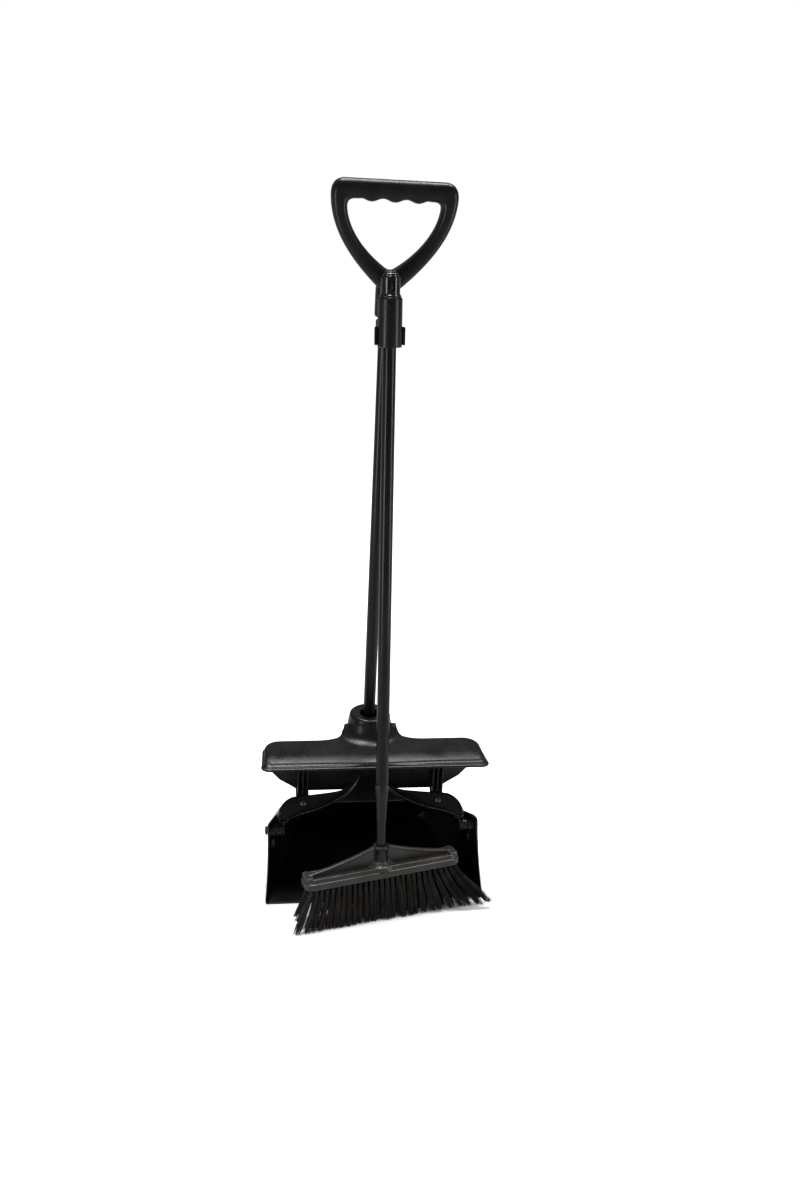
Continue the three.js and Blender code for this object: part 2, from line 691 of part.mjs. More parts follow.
function broomCap() {
  const inner = POLE_BORE;
  const profile = [
    [inner, SLEEVE_BOTTOM],
    [SLEEVE_RADIUS - 0.8, SLEEVE_BOTTOM],
    [SLEEVE_RADIUS, SLEEVE_BOTTOM + 1],
    [SLEEVE_RADIUS, SLEEVE_TOP - 2],
    [SLEEVE_RADIUS - 1, SLEEVE_TOP],
    [CAP_RADIUS + 0.8, SLEEVE_TOP + 0.6],
    [CAP_RADIUS, SLEEVE_TOP + 2],
    [CAP_RADIUS, CAP_TOP - 7],
    [CAP_RADIUS - 1.6, CAP_TOP - 3.2],
    [CAP_RADIUS - 5, CAP_TOP - 0.6],
    [0, CAP_TOP],
    [0, BROOM_TUBE_TOP + GAP],
    [inner, BROOM_TUBE_TOP + GAP],
    [inner, SLEEVE_BOTTOM],
  ];
  const hole = disc(HANG_HOLE_RADIUS, -30, 30);
  return turned(profile).subtract(turned(hole, place(0, 0, CAP_TOP - HANG_HOLE_DROP, Math.PI / 2), 20));
}

const broomPole = () => turned(ring(TUBE_INSIDE, POLE_RADIUS, BROOM_TUBE_BOTTOM, BROOM_TUBE_TOP));

// Tapered foot of the broom pole, with the spigot that goes into the head's socket.
function broomFoot() {
  const inner = TUBE_INSIDE - 0.25;
  return turned([
    [0, SPIGOT_BOTTOM],
    [SPIGOT_RADIUS, SPIGOT_BOTTOM],
    [SPIGOT_RADIUS, FERRULE_TOP + 1],
    [SPIGOT_RADIUS + 0.4, FERRULE_TOP + 2],
    [SPIGOT_RADIUS + 0.4, 124],
    [POLE_RADIUS, 172],
    [POLE_RADIUS, BROOM_TUBE_BOTTOM - GAP],
    [inner, BROOM_TUBE_BOTTOM - GAP],
    [inner, 200],
    [0, 200],
  ]);
}

// The head's turn about the pole and its roll, in the broom's frame.
const headTurn = tilted(place(0, 0, 0, 0, 0, HEAD_YAW), BLOCK_BOTTOM + BLOCK_THICKNESS, -HEAD_ROLL);

function headBody() {
  const half = HEAD_LENGTH / 2;
  const outline = new THREE.Shape();
  outline.absellipse(BLOCK_END - half, 0, BLOCK_END, HEAD_DEPTH / 2, Math.PI / 2, Math.PI * 1.5, false);
  outline.absellipse(half - BLOCK_END, 0, BLOCK_END, HEAD_DEPTH / 2, -Math.PI / 2, Math.PI / 2, false);
  outline.closePath();
  const slab = new THREE.ExtrudeGeometry(outline, {
    depth: BLOCK_THICKNESS - 4,
    bevelEnabled: true,
    bevelThickness: 2,
    bevelSize: 2,
    bevelOffset: -2,
    bevelSegments: 2,
    curveSegments: 6,
  });
  const top = BLOCK_BOTTOM + BLOCK_THICKNESS;
  const gusset = vectors([
    [half - 6, top - 2],
    [half - 8, top + 2],
    [FERRULE_RADIUS, FERRULE_TOP - 2],
  ]);
  const upright = headTurn.clone().multiply(place(0, 0, 0, Math.PI / 2));
  const web = new THREE.Shape([...gusset, ...mirrored(gusset)]);
  const ferrule = turned([
    [0, top - 4],
    [FERRULE_RADIUS + 4, top - 4],
    [FERRULE_RADIUS + 3, top + 1],
    [FERRULE_RADIUS, top + 5],
    [FERRULE_RADIUS, FERRULE_TOP - 3],
    [FERRULE_RADIUS + 0.7, FERRULE_TOP - 2.4],
    [FERRULE_RADIUS + 0.7, FERRULE_TOP - 0.6],
    [FERRULE_RADIUS, FERRULE_TOP],
    [0, FERRULE_TOP],
  ]);
  return solid(slab.translate(0, 0, BLOCK_BOTTOM + 2), headTurn)
    .add(extruded(web, GUSSET_THICKNESS, -GUSSET_THICKNESS / 2, upright))
    .add(ferrule)
    .subtract(turned(disc(SPIGOT_RADIUS + GAP, SPIGOT_BOTTOM - GAP, FERRULE_TOP + 5)));
}

// One row of bristles, scalloped into tufts, from the underside of the block down to the floor or
// to just above the pan's lip.
function bristleRow(row) {
  const offset = (row - (BRISTLE_ROWS - 1) / 2) * ROW_SPACING;
  const rootHalf = HEAD_LENGTH / 2 - 8;
  const tipHalf = rootHalf + BRISTLE_SPLAY;
  const tipZ = offset > 0 ? REAR_TIP_Z : FRONT_TIP_Z;
  const headFrame = broomFrame.clone().multiply(headTurn);
  const edge = [];
  for (let i = 0; i <= 2 * TUFTS; i++) {
    edge.push([ramp(i, 0, -1, 2 * TUFTS, 1), i % 2 ? 1 : 1 - TUFT_NOTCH]);
  }
  const outline = new THREE.Shape([
    ...vectors(edge.map(([x, y]) => [x, -y])),
    ...vectors(edge).reverse(),
  ]);
  const geometry = new THREE.ExtrudeGeometry(outline, { depth: 1, bevelEnabled: false });
  const points = geometry.getAttribute("position");
  for (let i = 0; i < points.count; i++) {
    const x = points.getX(i);
    const y = points.getY(i);
    const root = new THREE.Vector3(x * rootHalf, offset + (y * ROW_THICKNESS) / 2, BLOCK_BOTTOM - GAP);
    const tip = new THREE.Vector3(x * tipHalf, offset * ROW_SPREAD + (y * (ROW_THICKNESS + 1)) / 2, 0);
    root.applyMatrix4(headFrame);
    tip.applyMatrix4(headFrame);
    if (points.getZ(i) > 0.5) root.lerp(tip, (root.z - tipZ) / (root.z - tip.z));
    points.setXYZ(i, root.x, root.y, root.z);
  }
  return solid(geometry);
}

// ---- assembly -----------------------------------------------------------

add("pan_body", panBody(), plastic(0x15161a, 0.5));
add("yoke", yokeBody(), plastic(0x131417, 0.42));
add("hood", hoodBody(), plastic(0x1b1c20, 0.42));
for (const [side, word] of [[-1, "left"], [1, "right"]]) {
  add("pivot_pin_" + word, pivotPin(side), plastic(0x1f2023, 0.35));
  add("pivot_washer_" + word, pivotWasher(side), plastic(0x26272a, 0.4));
  const onYoke = place(side * LUG_X, LUG_SCREW, YOKE_THICKNESS / 2 + GAP).premultiply(yokePlane);
  add("hood_screw_" + word, screw(11, 4.2, onYoke), steel());
}
const onPole = (matrix) => poleAxis.clone().multiply(matrix);
const besideHub = onPole(place(HUB_RADIUS + 2 * GAP, 0, POLE_SCREW_Z, 0, Math.PI / 2, 0));
const besideStem = onPole(place(STEM_RADIUS + GAP, 0, HANDLE_SCREW_Z, 0, Math.PI / 2, 0));
const behindClip = onPole(place(0, CLIP_BAND_RADIUS + GAP, CLIP_MIDDLE, -Math.PI / 2));
add("pan_pole", panPole(), plastic(0x0c0c0e, 0.3));
add("pole_plug", polePlug(), plastic(0x1c1d1f, 0.5));
add("pole_screw", screw(16, 4, besideHub), steel());
add("d_handle", dHandle(), plastic(0x18191c, 0.45));
add("handle_screw", screw(9, 3.6, besideStem), steel());
add("broom_clip", clipBody(), plastic(0x141518, 0.45));
add("clip_screw", screw(3.6, 3.6, behindClip), steel());
add("broom_cap", broomCap(), plastic(0x0e0e10, 0.22), broom);
add("broom_pole", broomPole(), plastic(0x0e0e10, 0.3), broom);
add("broom_foot", broomFoot(), plastic(0x111113, 0.4), broom);
add("broom_head", headBody(), plastic(0x2c2b28, 0.45), broom);
for (let row = 0; row < BRISTLE_ROWS; row++) {
  add("bristle_row_" + (row + 1), bristleRow(row), plastic(0x1a1917, 0.8));
}

export default root;
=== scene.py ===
"""Looks for the long-handled dust pan and brush set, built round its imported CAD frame."""

import math

import bmesh
import bpy
import numpy as np
from mathutils import Matrix, Vector


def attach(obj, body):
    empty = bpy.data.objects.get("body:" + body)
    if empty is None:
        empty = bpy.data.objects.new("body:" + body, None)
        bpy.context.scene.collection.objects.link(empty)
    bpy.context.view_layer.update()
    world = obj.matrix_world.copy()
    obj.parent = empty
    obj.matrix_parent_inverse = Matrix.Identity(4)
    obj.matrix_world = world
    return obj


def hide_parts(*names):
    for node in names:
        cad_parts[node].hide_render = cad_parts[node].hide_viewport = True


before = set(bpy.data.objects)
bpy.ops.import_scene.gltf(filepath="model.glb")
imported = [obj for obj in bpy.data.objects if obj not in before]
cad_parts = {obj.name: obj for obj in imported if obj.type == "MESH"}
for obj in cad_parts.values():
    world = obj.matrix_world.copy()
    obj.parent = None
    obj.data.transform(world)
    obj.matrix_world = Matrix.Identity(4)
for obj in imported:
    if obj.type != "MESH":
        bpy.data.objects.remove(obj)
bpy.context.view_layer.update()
rng = np.random.default_rng(41)

MM = 0.001
RIGHT_ANGLE = math.pi / 2

# The frame's own dimensions, in millimetres.
POLE_Y = 38.5
POLE_RADIUS = 8.25
PIVOT_Y, PIVOT_Z = -42.0, 80.0
YOKE_LEAN = math.radians(41)
HUB_BOTTOM, POLE_TOP = 113.0, 806.0
POLE_TILT = math.radians(0.6)
GRIP_SHIFT = 2.5
GRIP_TURN = math.radians(1.5)
BROOM_FOOT = (3.5, -128.0, 0.0)
BROOM_LEAN = math.atan2(139, 831)
BROOM_TILT = math.radians(0.75)
HEAD_YAW = math.radians(11.5)
HEAD_ROLL = math.radians(2.6)
BLOCK_BOTTOM, BLOCK_TOP = 59.0, 72.0


def tilted(base, z, angle):
    """A frame like base, turned about Y round the point at height z on its axis."""
    return base @ Matrix.Translation((0, 0, z)) @ Matrix.Rotation(angle, 4, "Y") @ Matrix.Translation((0, 0, -z))


hub_axis = Matrix.Translation((0, POLE_Y, 0))
pole_axis = tilted(hub_axis, HUB_BOTTOM, -POLE_TILT)
grip_axis = tilted(pole_axis, POLE_TOP, GRIP_TURN) @ Matrix.Translation((GRIP_SHIFT, 0, 0))
yoke_plane = Matrix.Translation((0, PIVOT_Y, PIVOT_Z)) @ Matrix.Rotation(YOKE_LEAN, 4, "X")
broom_turn = Matrix.Rotation(-BROOM_LEAN, 4, "X") @ Matrix.Rotation(-BROOM_TILT, 4, "Y")
broom_axis = Matrix.Translation(BROOM_FOOT) @ broom_turn
head_frame = tilted(broom_axis @ Matrix.Rotation(HEAD_YAW, 4, "Z"), BLOCK_TOP, -HEAD_ROLL)


# ---- materials -----------------------------------------------------------


class Nodes:
    """A new material and short calls that add nodes to it."""

    def __init__(self, name):
        self.material = bpy.data.materials.new(name)
        self.material.use_nodes = True
        self.tree = self.material.node_tree
        self.shader = self.tree.nodes["Principled BSDF"]

    def add(self, kind, inputs=(), **settings):
        node = self.tree.nodes.new(kind)
        for key, value in settings.items():
            setattr(node, key, value)
        for key, value in dict(inputs).items():
            if isinstance(value, bpy.types.NodeSocket):
                self.tree.links.new(value, node.inputs[key])
            else:
                node.inputs[key].default_value = value
        return node

    def noise(self, scale, detail=3.0, roughness=0.55, stretch=(1, 1, 1)):
        where = self.add("ShaderNodeTexCoord").outputs["Object"]
        where = self.add(
            "ShaderNodeMapping", {"Vector": where, "Scale": stretch}
        ).outputs["Vector"]
        return self.add(
            "ShaderNodeTexNoise",
            {"Vector": where, "Scale": scale, "Detail": detail, "Roughness": roughness},
        ).outputs["Fac"]

    def ramp(self, value, low, high, to_low=0.0, to_high=1.0):
        return self.add(
            "ShaderNodeMapRange",
            {"Value": value, "From Min": low, "From Max": high, "To Min": to_low, "To Max": to_high},
            clamp=True,
        ).outputs["Result"]

    def math(self, operation, a, b):
        return self.add("ShaderNodeMath", {0: a, 1: b}, operation=operation).outputs[0]

    def mix(self, factor, a, b):
        node = self.add("ShaderNodeMix", data_type="RGBA")
        for key, value in ((0, factor), (6, a), (7, b)):
            if isinstance(value, bpy.types.NodeSocket):
                self.tree.links.new(value, node.inputs[key])
            else:
                node.inputs[key].default_value = value
        return node.outputs[2]

    def link(self, value, socket):
        self.tree.links.new(value, self.shader.inputs[socket])


def grey(value, warm=0.0):
    return (value * (1 + warm), value, value * (1 - warm), 1)


def plastic(
    name, shade, roughness, grain=900, grain_depth=0.03, warm=0.0,
    specular=0.5, dust=0.25, edge_wear_and_highlight=0.5, edge_wear_and_highlight_tone=0.012,
):
    """Moulded plastic: fine grain, cloudy gloss, faint scuffs, paler edges that are partly wear and partly a
    painted highlight, and a little dust on top.
    """
    n = Nodes(name)
    clouds = n.noise(28, 4)
    scuffs = n.noise(60, 6, 0.7, (1, 0.25, 3.0))
    fine = n.noise(grain, 2, 0.6)
    pointed = n.add("ShaderNodeNewGeometry").outputs["Pointiness"]
    up = n.add("ShaderNodeSeparateXYZ", {0: n.add("ShaderNodeNewGeometry").outputs["Normal"]}).outputs["Z"]
    base = n.mix(n.ramp(clouds, 0.35, 0.7), grey(shade * 0.8, warm), grey(shade * 1.25, warm))
    # Convex edges are painted paler: partly worn edges, partly a painted highlight, strongest where the edge tone
    # is raised.
    edge = n.math("MULTIPLY", n.ramp(pointed, 0.515, 0.57), n.ramp(scuffs, 0.42, 0.62, 0.25 * edge_wear_and_highlight, edge_wear_and_highlight))
    base = n.mix(edge, base, grey(shade * 3.2 + edge_wear_and_highlight_tone, warm))
    settled = n.math("MULTIPLY", n.ramp(up, 0.55, 0.98), n.ramp(n.noise(210, 8, 0.75), 0.5, 0.72, 0, dust))
    base = n.mix(settled, base, (0.12, 0.112, 0.1, 1))
    n.link(base, "Base Color")
    gloss = n.math("ADD", n.ramp(clouds, 0.3, 0.7, roughness - 0.05, roughness + 0.06), n.ramp(scuffs, 0.5, 0.75, 0, 0.14))
    n.link(n.math("ADD", gloss, n.math("MULTIPLY", settled, 0.5)), "Roughness")
    n.shader.inputs["Specular IOR Level"].default_value = specular
    height = n.math("ADD", fine, n.math("MULTIPLY", scuffs, 0.35))
    bump = n.add("ShaderNodeBump", {"Height": height, "Strength": 0.35, "Distance": grain_depth * MM})
    n.link(bump.outputs["Normal"], "Normal")
    return n.material


def coated_tube(name):
    """Satin powder coat on a steel tube: orange peel, long faint rubs along it and tiny chips."""
    n = Nodes(name)
    peel = n.noise(520, 2, 0.5)
    rubs = n.noise(95, 5, 0.65, (1, 1, 0.035))
    chips = n.noise(330, 3, 0.5)
    base = n.mix(n.ramp(rubs, 0.4, 0.72), grey(0.002), grey(0.006))
    chip = n.ramp(chips, 0.735, 0.76)
    base = n.mix(chip, base, grey(0.035))
    n.link(base, "Base Color")
    n.link(n.ramp(rubs, 0.35, 0.7, 0.22, 0.34), "Roughness")
    n.shader.inputs["Specular IOR Level"].default_value = 0.22
    bump = n.add("ShaderNodeBump", {"Height": peel, "Strength": 0.3, "Distance": 0.04 * MM})
    n.link(bump.outputs["Normal"], "Normal")
    return n.material


def filament(name, shade, tint):
    """Polymer bristle: each tuft and each length of filament a little different in tone."""
    n = Nodes(name)
    patches = n.noise(75, 3, 0.6)
    strands = n.noise(700, 2, 0.6, (1, 1, 0.12))
    base = n.mix(n.ramp(patches, 0.35, 0.7), grey(shade * 0.6, 0.08), (*tint, 1))
    base = n.mix(n.ramp(strands, 0.5, 0.8, 0, 0.6), base, grey(shade * 2.2, 0.1))
    n.link(base, "Base Color")
    n.link(n.ramp(strands, 0.3, 0.8, 0.45, 0.62), "Roughness")
    n.shader.inputs["Specular IOR Level"].default_value = 0.2
    return n.material


def blackened_steel(name):
    """Turned screw steel with fine rings and a worn head."""
    n = Nodes(name)
    fine = n.noise(1600, 3, 0.6)
    n.link(n.mix(n.ramp(fine, 0.4, 0.7), grey(0.03), grey(0.11)), "Base Color")
    n.shader.inputs["Metallic"].default_value = 0.8
    n.link(n.ramp(fine, 0.3, 0.7, 0.3, 0.5), "Roughness")
    bump = n.add("ShaderNodeBump", {"Height": fine, "Strength": 0.3, "Distance": 0.03 * MM})
    n.link(bump.outputs["Normal"], "Normal")
    return n.material


HOOD = plastic("hood_satin", 0.0045, 0.27, grain=1100, specular=0.2, dust=0.012, edge_wear_and_highlight=0.25)
PAN = plastic("pan_satin", 0.0032, 0.3, grain=800, specular=0.3, dust=0.04)
# The yoke's raised edge tone paints a highlight along its bead and edges.
YOKE = plastic("yoke_satin", 0.0032, 0.24, grain=900, specular=0.36, dust=0.02, edge_wear_and_highlight=1.0, edge_wear_and_highlight_tone=0.055)
GRIP = plastic("grip_satin", 0.0045, 0.3, grain=1300, grain_depth=0.05, specular=0.2, dust=0.02)
CAP = plastic("cap_gloss", 0.003, 0.14, grain=700, grain_depth=0.012, specular=0.4, dust=0.02, edge_wear_and_highlight=0.7)
SLEEVE = plastic("sleeve_satin", 0.0035, 0.27, grain=900, specular=0.22, dust=0.02)
# The block's raised edge tone paints highlights along its edges and rims.
BLOCK = plastic("block_satin", 0.021, 0.3, grain=1000, warm=0.07, specular=0.3, dust=0.12, edge_wear_and_highlight=0.9, edge_wear_and_highlight_tone=0.05)
SMALL = plastic("small_satin", 0.006, 0.3, grain=1200, specular=0.25, dust=0.03)
FOOT = plastic("foot_satin", 0.005, 0.26, grain=1000, warm=0.05, specular=0.28, dust=0.03)
TUBE = coated_tube("powder_coat")
STEEL = blackened_steel("blackened_steel")
BRISTLES = [
    filament("bristle_front", 0.01, (0.017, 0.014, 0.012)),
    filament("bristle_second", 0.009, (0.013, 0.014, 0.012)),
    filament("bristle_third", 0.008, (0.013, 0.011, 0.012)),
    filament("bristle_rear", 0.007, (0.01, 0.01, 0.009)),
]


# ---- mesh building -------------------------------------------------------


class Mesh:
    """Collects closed parts, in millimetres, as points and faces."""

    def __init__(self):
        self.points = []
        self.faces = []
        self.count = 0

    def put(self, points, matrix=None):
        points = np.asarray(points, float).reshape(-1, 3)
        if matrix is not None:
            m = np.array(matrix, float)
            points = points @ m[:3, :3].T + m[:3, 3]
        start = self.count
        self.points.append(points)
        self.count += len(points)
        return start

    def loft(self, rings, matrix=None, closed=False, caps=True):
        """Joins rings of points, each a closed loop. closed joins the last ring to the first."""
        rings = np.asarray(rings, float)
        n, m = rings.shape[:2]
        start = self.put(rings, matrix)
        for i in range(n if closed else n - 1):
            a, b = start + i * m, start + ((i + 1) % n) * m
            for j in range(m):
                k = (j + 1) % m
                self.faces.append((a + j, a + k, b + k, b + j))
        if caps and not closed:
            for i, order in ((0, -1), (n - 1, 1)):
                centre = self.put(rings[i].mean(0), matrix)
                loop = list(range(start + i * m, start + (i + 1) * m))[::order]
                for j in range(m):
                    self.faces.append((loop[j], loop[(j + 1) % m], centre))
        return self

    def lathe(self, profile, matrix=None, sides=72):
        """A turned part about Z from (radius, height) points: closed on the axis, or on itself."""
        profile = np.asarray(profile, float)
        on_itself = np.allclose(profile[0], profile[-1])
        if on_itself:
            profile = profile[:-1]
        else:
            profile = profile[profile[:, 0] > 1e-6]
        angle = np.linspace(0, 2 * math.pi, sides, endpoint=False)
        rings = np.stack(
            [
                profile[:, None, 0] * np.cos(angle),
                profile[:, None, 0] * np.sin(angle),
                np.repeat(profile[:, 1:2], sides, axis=1),
            ],
            axis=-1,
        )
        return self.loft(rings, matrix, closed=on_itself)

    def plate(self, outline, low, high, matrix=None, edge=0.6):
        """An outline in x and y, given depth from low to high, with rounded edges."""
        outline = np.asarray(outline, float)
        rings = []
        for k in range(5):
            turn = RIGHT_ANGLE * k / 4
            rings.append((inset(outline, edge * (1 - math.sin(turn))), low + edge * (1 - math.cos(turn))))
        rings += [(ring, high + low - z) for ring, z in rings[::-1]]
        start = [self.put(np.c_[ring, np.full(len(ring), z)], matrix) for ring, z in rings]
        m = len(outline)
        for a, b in zip(start, start[1:]):
            for j in range(m):
                k = (j + 1) % m
                self.faces.append((a + j, a + k, b + k, b + j))
        self.faces.append(tuple(range(start[0] + m - 1, start[0] - 1, -1)))
        self.faces.append(tuple(range(start[-1], start[-1] + m)))
        return self

    def object(self, name, material, smooth=40):
        data = bpy.data.meshes.new(name)
        data.from_pydata((np.concatenate(self.points) * MM).tolist(), [], self.faces)
        return dressed(name, data, material, smooth)


def dressed(name, data, material, smooth=40):
    """Gives a mesh outward faces, smooth shading and a material, and links it as an object."""
    shape = bmesh.new()
    shape.from_mesh(data)
    bmesh.ops.remove_doubles(shape, verts=shape.verts, dist=1e-7)
    bmesh.ops.recalc_face_normals(shape, faces=shape.faces)
    shape.to_mesh(data)
    shape.free()
    data.shade_smooth()
    data.set_sharp_from_angle(angle=math.radians(smooth))
    data.materials.clear()
    data.materials.append(material)
    made = bpy.data.objects.new(name, data)
    bpy.context.scene.collection.objects.link(made)
    return made


def inset(outline, distance):
    """A closed outline drawn in by a distance."""
    after, before = np.roll(outline, -1, axis=0), np.roll(outline, 1, axis=0)
    area = np.sum(outline[:, 0] * after[:, 1] - after[:, 0] * outline[:, 1])
    tangent = after - before
    tangent /= np.linalg.norm(tangent, axis=1, keepdims=True) + 1e-12
    normal = np.c_[-tangent[:, 1], tangent[:, 0]] * math.copysign(1, area)
    return outline + normal * distance


def curve(points, count):
    """A smooth curve through points, evenly spaced along its length."""
    points = np.asarray(points, float)
    points = np.vstack([2 * points[0] - points[1], points, 2 * points[-1] - points[-2]])
    fine = []
    for i in range(1, len(points) - 2):
        p0, p1, p2, p3 = points[i - 1 : i + 3]
        t = np.linspace(0, 1, 24, endpoint=False)[:, None]
        fine.append(
            0.5
            * (
                2 * p1
                + (p2 - p0) * t
                + (2 * p0 - 5 * p1 + 4 * p2 - p3) * t**2
                + (3 * p1 - p0 - 3 * p2 + p3) * t**3
            )
        )
    fine = np.vstack([*fine, points[-2][None]])
    return evenly(fine, count)


def evenly(line, count):
    """A polyline resampled to evenly spaced points."""
    line = np.asarray(line, float)
    run = np.r_[0, np.cumsum(np.linalg.norm(np.diff(line, axis=0), axis=1))]
    at = np.linspace(0, run[-1], count)
    return np.stack([np.interp(at, run, line[:, k]) for k in range(line.shape[1])], axis=1)


def bezier(controls, count):
    t = np.linspace(0, 1, count)[:, None]
    controls = [np.asarray(c, float) for c in controls]
    while len(controls) > 1:
        controls = [a * (1 - t) + b * t for a, b in zip(controls, controls[1:])]
    return controls[0]


def mirror(points):
    return np.asarray(points)[::-1] * (-1, 1)


def rounded_bar(length, wide, radius, count=10):
    """A closed outline round (0, 0): a rectangle with rounded corners."""
    corners = []
    for quarter, (sx, sy) in enumerate(((1, 1), (-1, 1), (-1, -1), (1, -1))):
        turn = np.linspace(0, RIGHT_ANGLE, count) + quarter * RIGHT_ANGLE
        centre = np.array([sx * (length / 2 - radius), sy * (wide / 2 - radius)])
        corners.append(centre + radius * np.c_[np.cos(turn), np.sin(turn)])
    return np.vstack(corners)


def fused(name, made, cutters, voxel, rounds, material, smooth=60):
    """Fuses closed parts into one moulded body with softened edges, and cuts holes in it."""
    rough = made.object(name + "_rough", material)
    steps = rough.modifiers
    fuse = steps.new("fuse", "REMESH")
    fuse.mode = "VOXEL"
    fuse.voxel_size = voxel * MM
    fuse.use_smooth_shade = True
    soften = steps.new("soften", "SMOOTH")
    soften.factor = 0.5
    soften.iterations = rounds
    holes = None
    if cutters is not None:
        holes = cutters.object(name + "_holes", material)
        cut = steps.new("cut", "BOOLEAN")
        cut.operation = "DIFFERENCE"
        cut.solver = "EXACT"
        cut.object = holes
    data = bpy.data.meshes.new_from_object(rough.evaluated_get(bpy.context.evaluated_depsgraph_get()))
    for spare in filter(None, (rough, holes)):
        bpy.data.objects.remove(spare)
    return dressed(name, data, material, smooth)


def shown(piece, body, slot, *nodes):
    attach(piece, body)
    if nodes:
        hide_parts(*nodes)
    return piece


def ring_profile(inner, outer, low, high, edge=0.5):
    """A turned tube wall with rounded edges, as a profile closed on itself."""
    points = []
    for r, z, start in ((outer, low, 0), (outer, high, 1), (inner, high, 2), (inner, low, 3)):
        turn = np.linspace(-RIGHT_ANGLE, 0, 4) + start * RIGHT_ANGLE
        cr = r - edge if r == outer else r + edge
        cz = z + edge if z == low else z - edge
        points.append(np.c_[cr + edge * np.cos(turn), cz + edge * np.sin(turn)])
    points = np.vstack(points)
    return np.vstack([points, points[:1]])


def rounded_profile(corners, edge=0.6, steps=4):
    """An open turned profile from axis to axis with its corners rounded."""
    corners = [np.asarray(c, float) for c in corners]
    points = [corners[0]]
    for a, b, c in zip(corners, corners[1:], corners[2:]):
        back, on = a - b, c - b
        reach = min(edge, np.linalg.norm(back) * 0.45, np.linalg.norm(on) * 0.45)
        start = b + back / np.linalg.norm(back) * reach
        end = b + on / np.linalg.norm(on) * reach
        points.extend(bezier([start, b, end], steps))
    points.append(corners[-1])
    return np.array(points)


# ---- pan -----------------------------------------------------------------

PAN_FRONT, PAN_TURN = -100.0, 70.0
TAIL_RADIUS = 30.0


def taper(y, front, middle, back):
    return np.interp(y, [-110, -100, -50, 100], [front + (front - middle) / 5, front, middle, back])


def pan_column_points(y, inward):
    """One section of the pan's skin at y: right half, from the floor's middle to the roof's ridge."""
    foot = taper(y, 150, 137, 104) - inward
    top = taper(y, 153, 146, 116) - inward
    shoulder = 93 + (30 - 93) * (y + 52) / 152 - inward
    crown = 122 + (42 - 122) * (y + 42) / 142 - inward
    fillet = np.interp(y, [-100, -60], [5.5, 14.0])
    along = fillet / shoulder
    low = np.array([foot - fillet, 0.0])
    high = np.array([foot + (top - foot) * along, fillet])
    floor = np.linspace([0, 0], low, 20, endpoint=False)
    corner = bezier([low, (foot, 0), high], 12)
    wall = np.linspace(high, (top, shoulder), 14)[1:]
    roof = bezier([(top, shoulder), (top - 1, shoulder + (crown - shoulder) * 0.55), (top * 0.62, crown), (0, crown)], 44)[1:]
    return np.vstack([floor, corner, wall, roof])


def kept(x, y, z):
    """Whether a point of the skin is behind the mouth and below the yoke."""
    mouth = z > 4 + (y + 100) * 1.875
    under_yoke = abs(x) < 134.2 and z > 68.4 + (y - PIVOT_Y) * math.tan(YOKE_LEAN)
    ear = abs(x) >= 134.2 and z > 96 + (y + 52) * math.tan(YOKE_LEAN)
    return not (mouth or under_yoke or ear)


def pan_shell():
    tail = PAN_TURN + TAIL_RADIUS * np.sin(np.radians(np.linspace(2, 78, 39)))
    stations = np.r_[np.linspace(PAN_FRONT, PAN_TURN, 341), tail]
    drawn = np.zeros(len(stations))
    drawn[341:] = TAIL_RADIUS * (1 - np.cos(np.radians(np.linspace(2, 78, 39)))) * 0.62
    sections = np.array([pan_column_points(y, d) for y, d in zip(stations, drawn)])
    rows = 64
    columns = sections.shape[1]
    grid = np.zeros((columns, rows, 3))
    for j in range(columns):
        inside = [kept(x, y, z) for (x, z), y in zip(sections[:, j], stations)]
        last_cut = max([i for i, ok in enumerate(inside) if not ok], default=-1)
        first = min(last_cut + 1, len(stations) - 2)
        at = first + (len(stations) - 1 - first) * np.linspace(0, 1, rows)
        for k in range(2):
            grid[j, :, 0 if k == 0 else 2] = np.interp(at, np.arange(len(stations)), sections[:, j, k])
        grid[j, :, 1] = np.interp(at, np.arange(len(stations)), stations)
    left = grid[::-1].copy()
    left[..., 0] *= -1
    skin = np.concatenate([left, grid[1:]])
    return skin


def surface_normals(grid):
    du = np.gradient(grid, axis=0)
    dv = np.gradient(grid, axis=1)
    normal = np.cross(du, dv)
    length = np.linalg.norm(normal, axis=-1, keepdims=True)
    return normal / np.maximum(length, 1e-9)


def boundary(n, m):
    """The outer loop of an n by m grid, as index pairs."""
    return (
        [(i, 0) for i in range(n)]
        + [(n - 1, j) for j in range(1, m)]
        + [(i, m - 1) for i in range(n - 2, -1, -1)]
        + [(0, j) for j in range(m - 2, 0, -1)]
    )


def shell(made, outer, inner, steps=5):
    """A thin wall between two grids, with a half-round edge all round it."""
    n, m = outer.shape[:2]
    top, under = made.put(outer), made.put(inner)
    for i in range(n - 1):
        for j in range(m - 1):
            a, b, c, d = i * m + j, (i + 1) * m + j, (i + 1) * m + j + 1, i * m + j + 1
            made.faces.append((top + a, top + b, top + c, top + d))
            made.faces.append((under + d, under + c, under + b, under + a))
    loop = boundary(n, m)
    edge_out = np.array([outer[i, j] for i, j in loop])
    edge_in = np.array([inner[i, j] for i, j in loop])
    middle = (edge_out + edge_in) / 2
    across = (edge_out - edge_in) / 2
    tangent = np.roll(middle, -1, axis=0) - np.roll(middle, 1, axis=0)
    out = np.cross(tangent, across)
    out /= np.maximum(np.linalg.norm(out, axis=1, keepdims=True), 1e-9)
    centre = middle.mean(0)
    if np.sum(out * (middle - centre)) < 0:
        out = -out
    radius = np.linalg.norm(across, axis=1, keepdims=True)
    strips = [[top + i * m + j for i, j in loop]]
    for k in range(1, steps):
        turn = math.pi * k / steps
        start = made.put(middle + across * math.cos(turn) + out * radius * math.sin(turn) * 0.8)
        strips.append(list(range(start, start + len(loop))))
    strips.append([under + i * m + j for i, j in loop])
    for a, b in zip(strips, strips[1:]):
        for k in range(len(loop)):
            e = (k + 1) % len(loop)
            made.faces.append((a[k], a[e], b[e], b[k]))


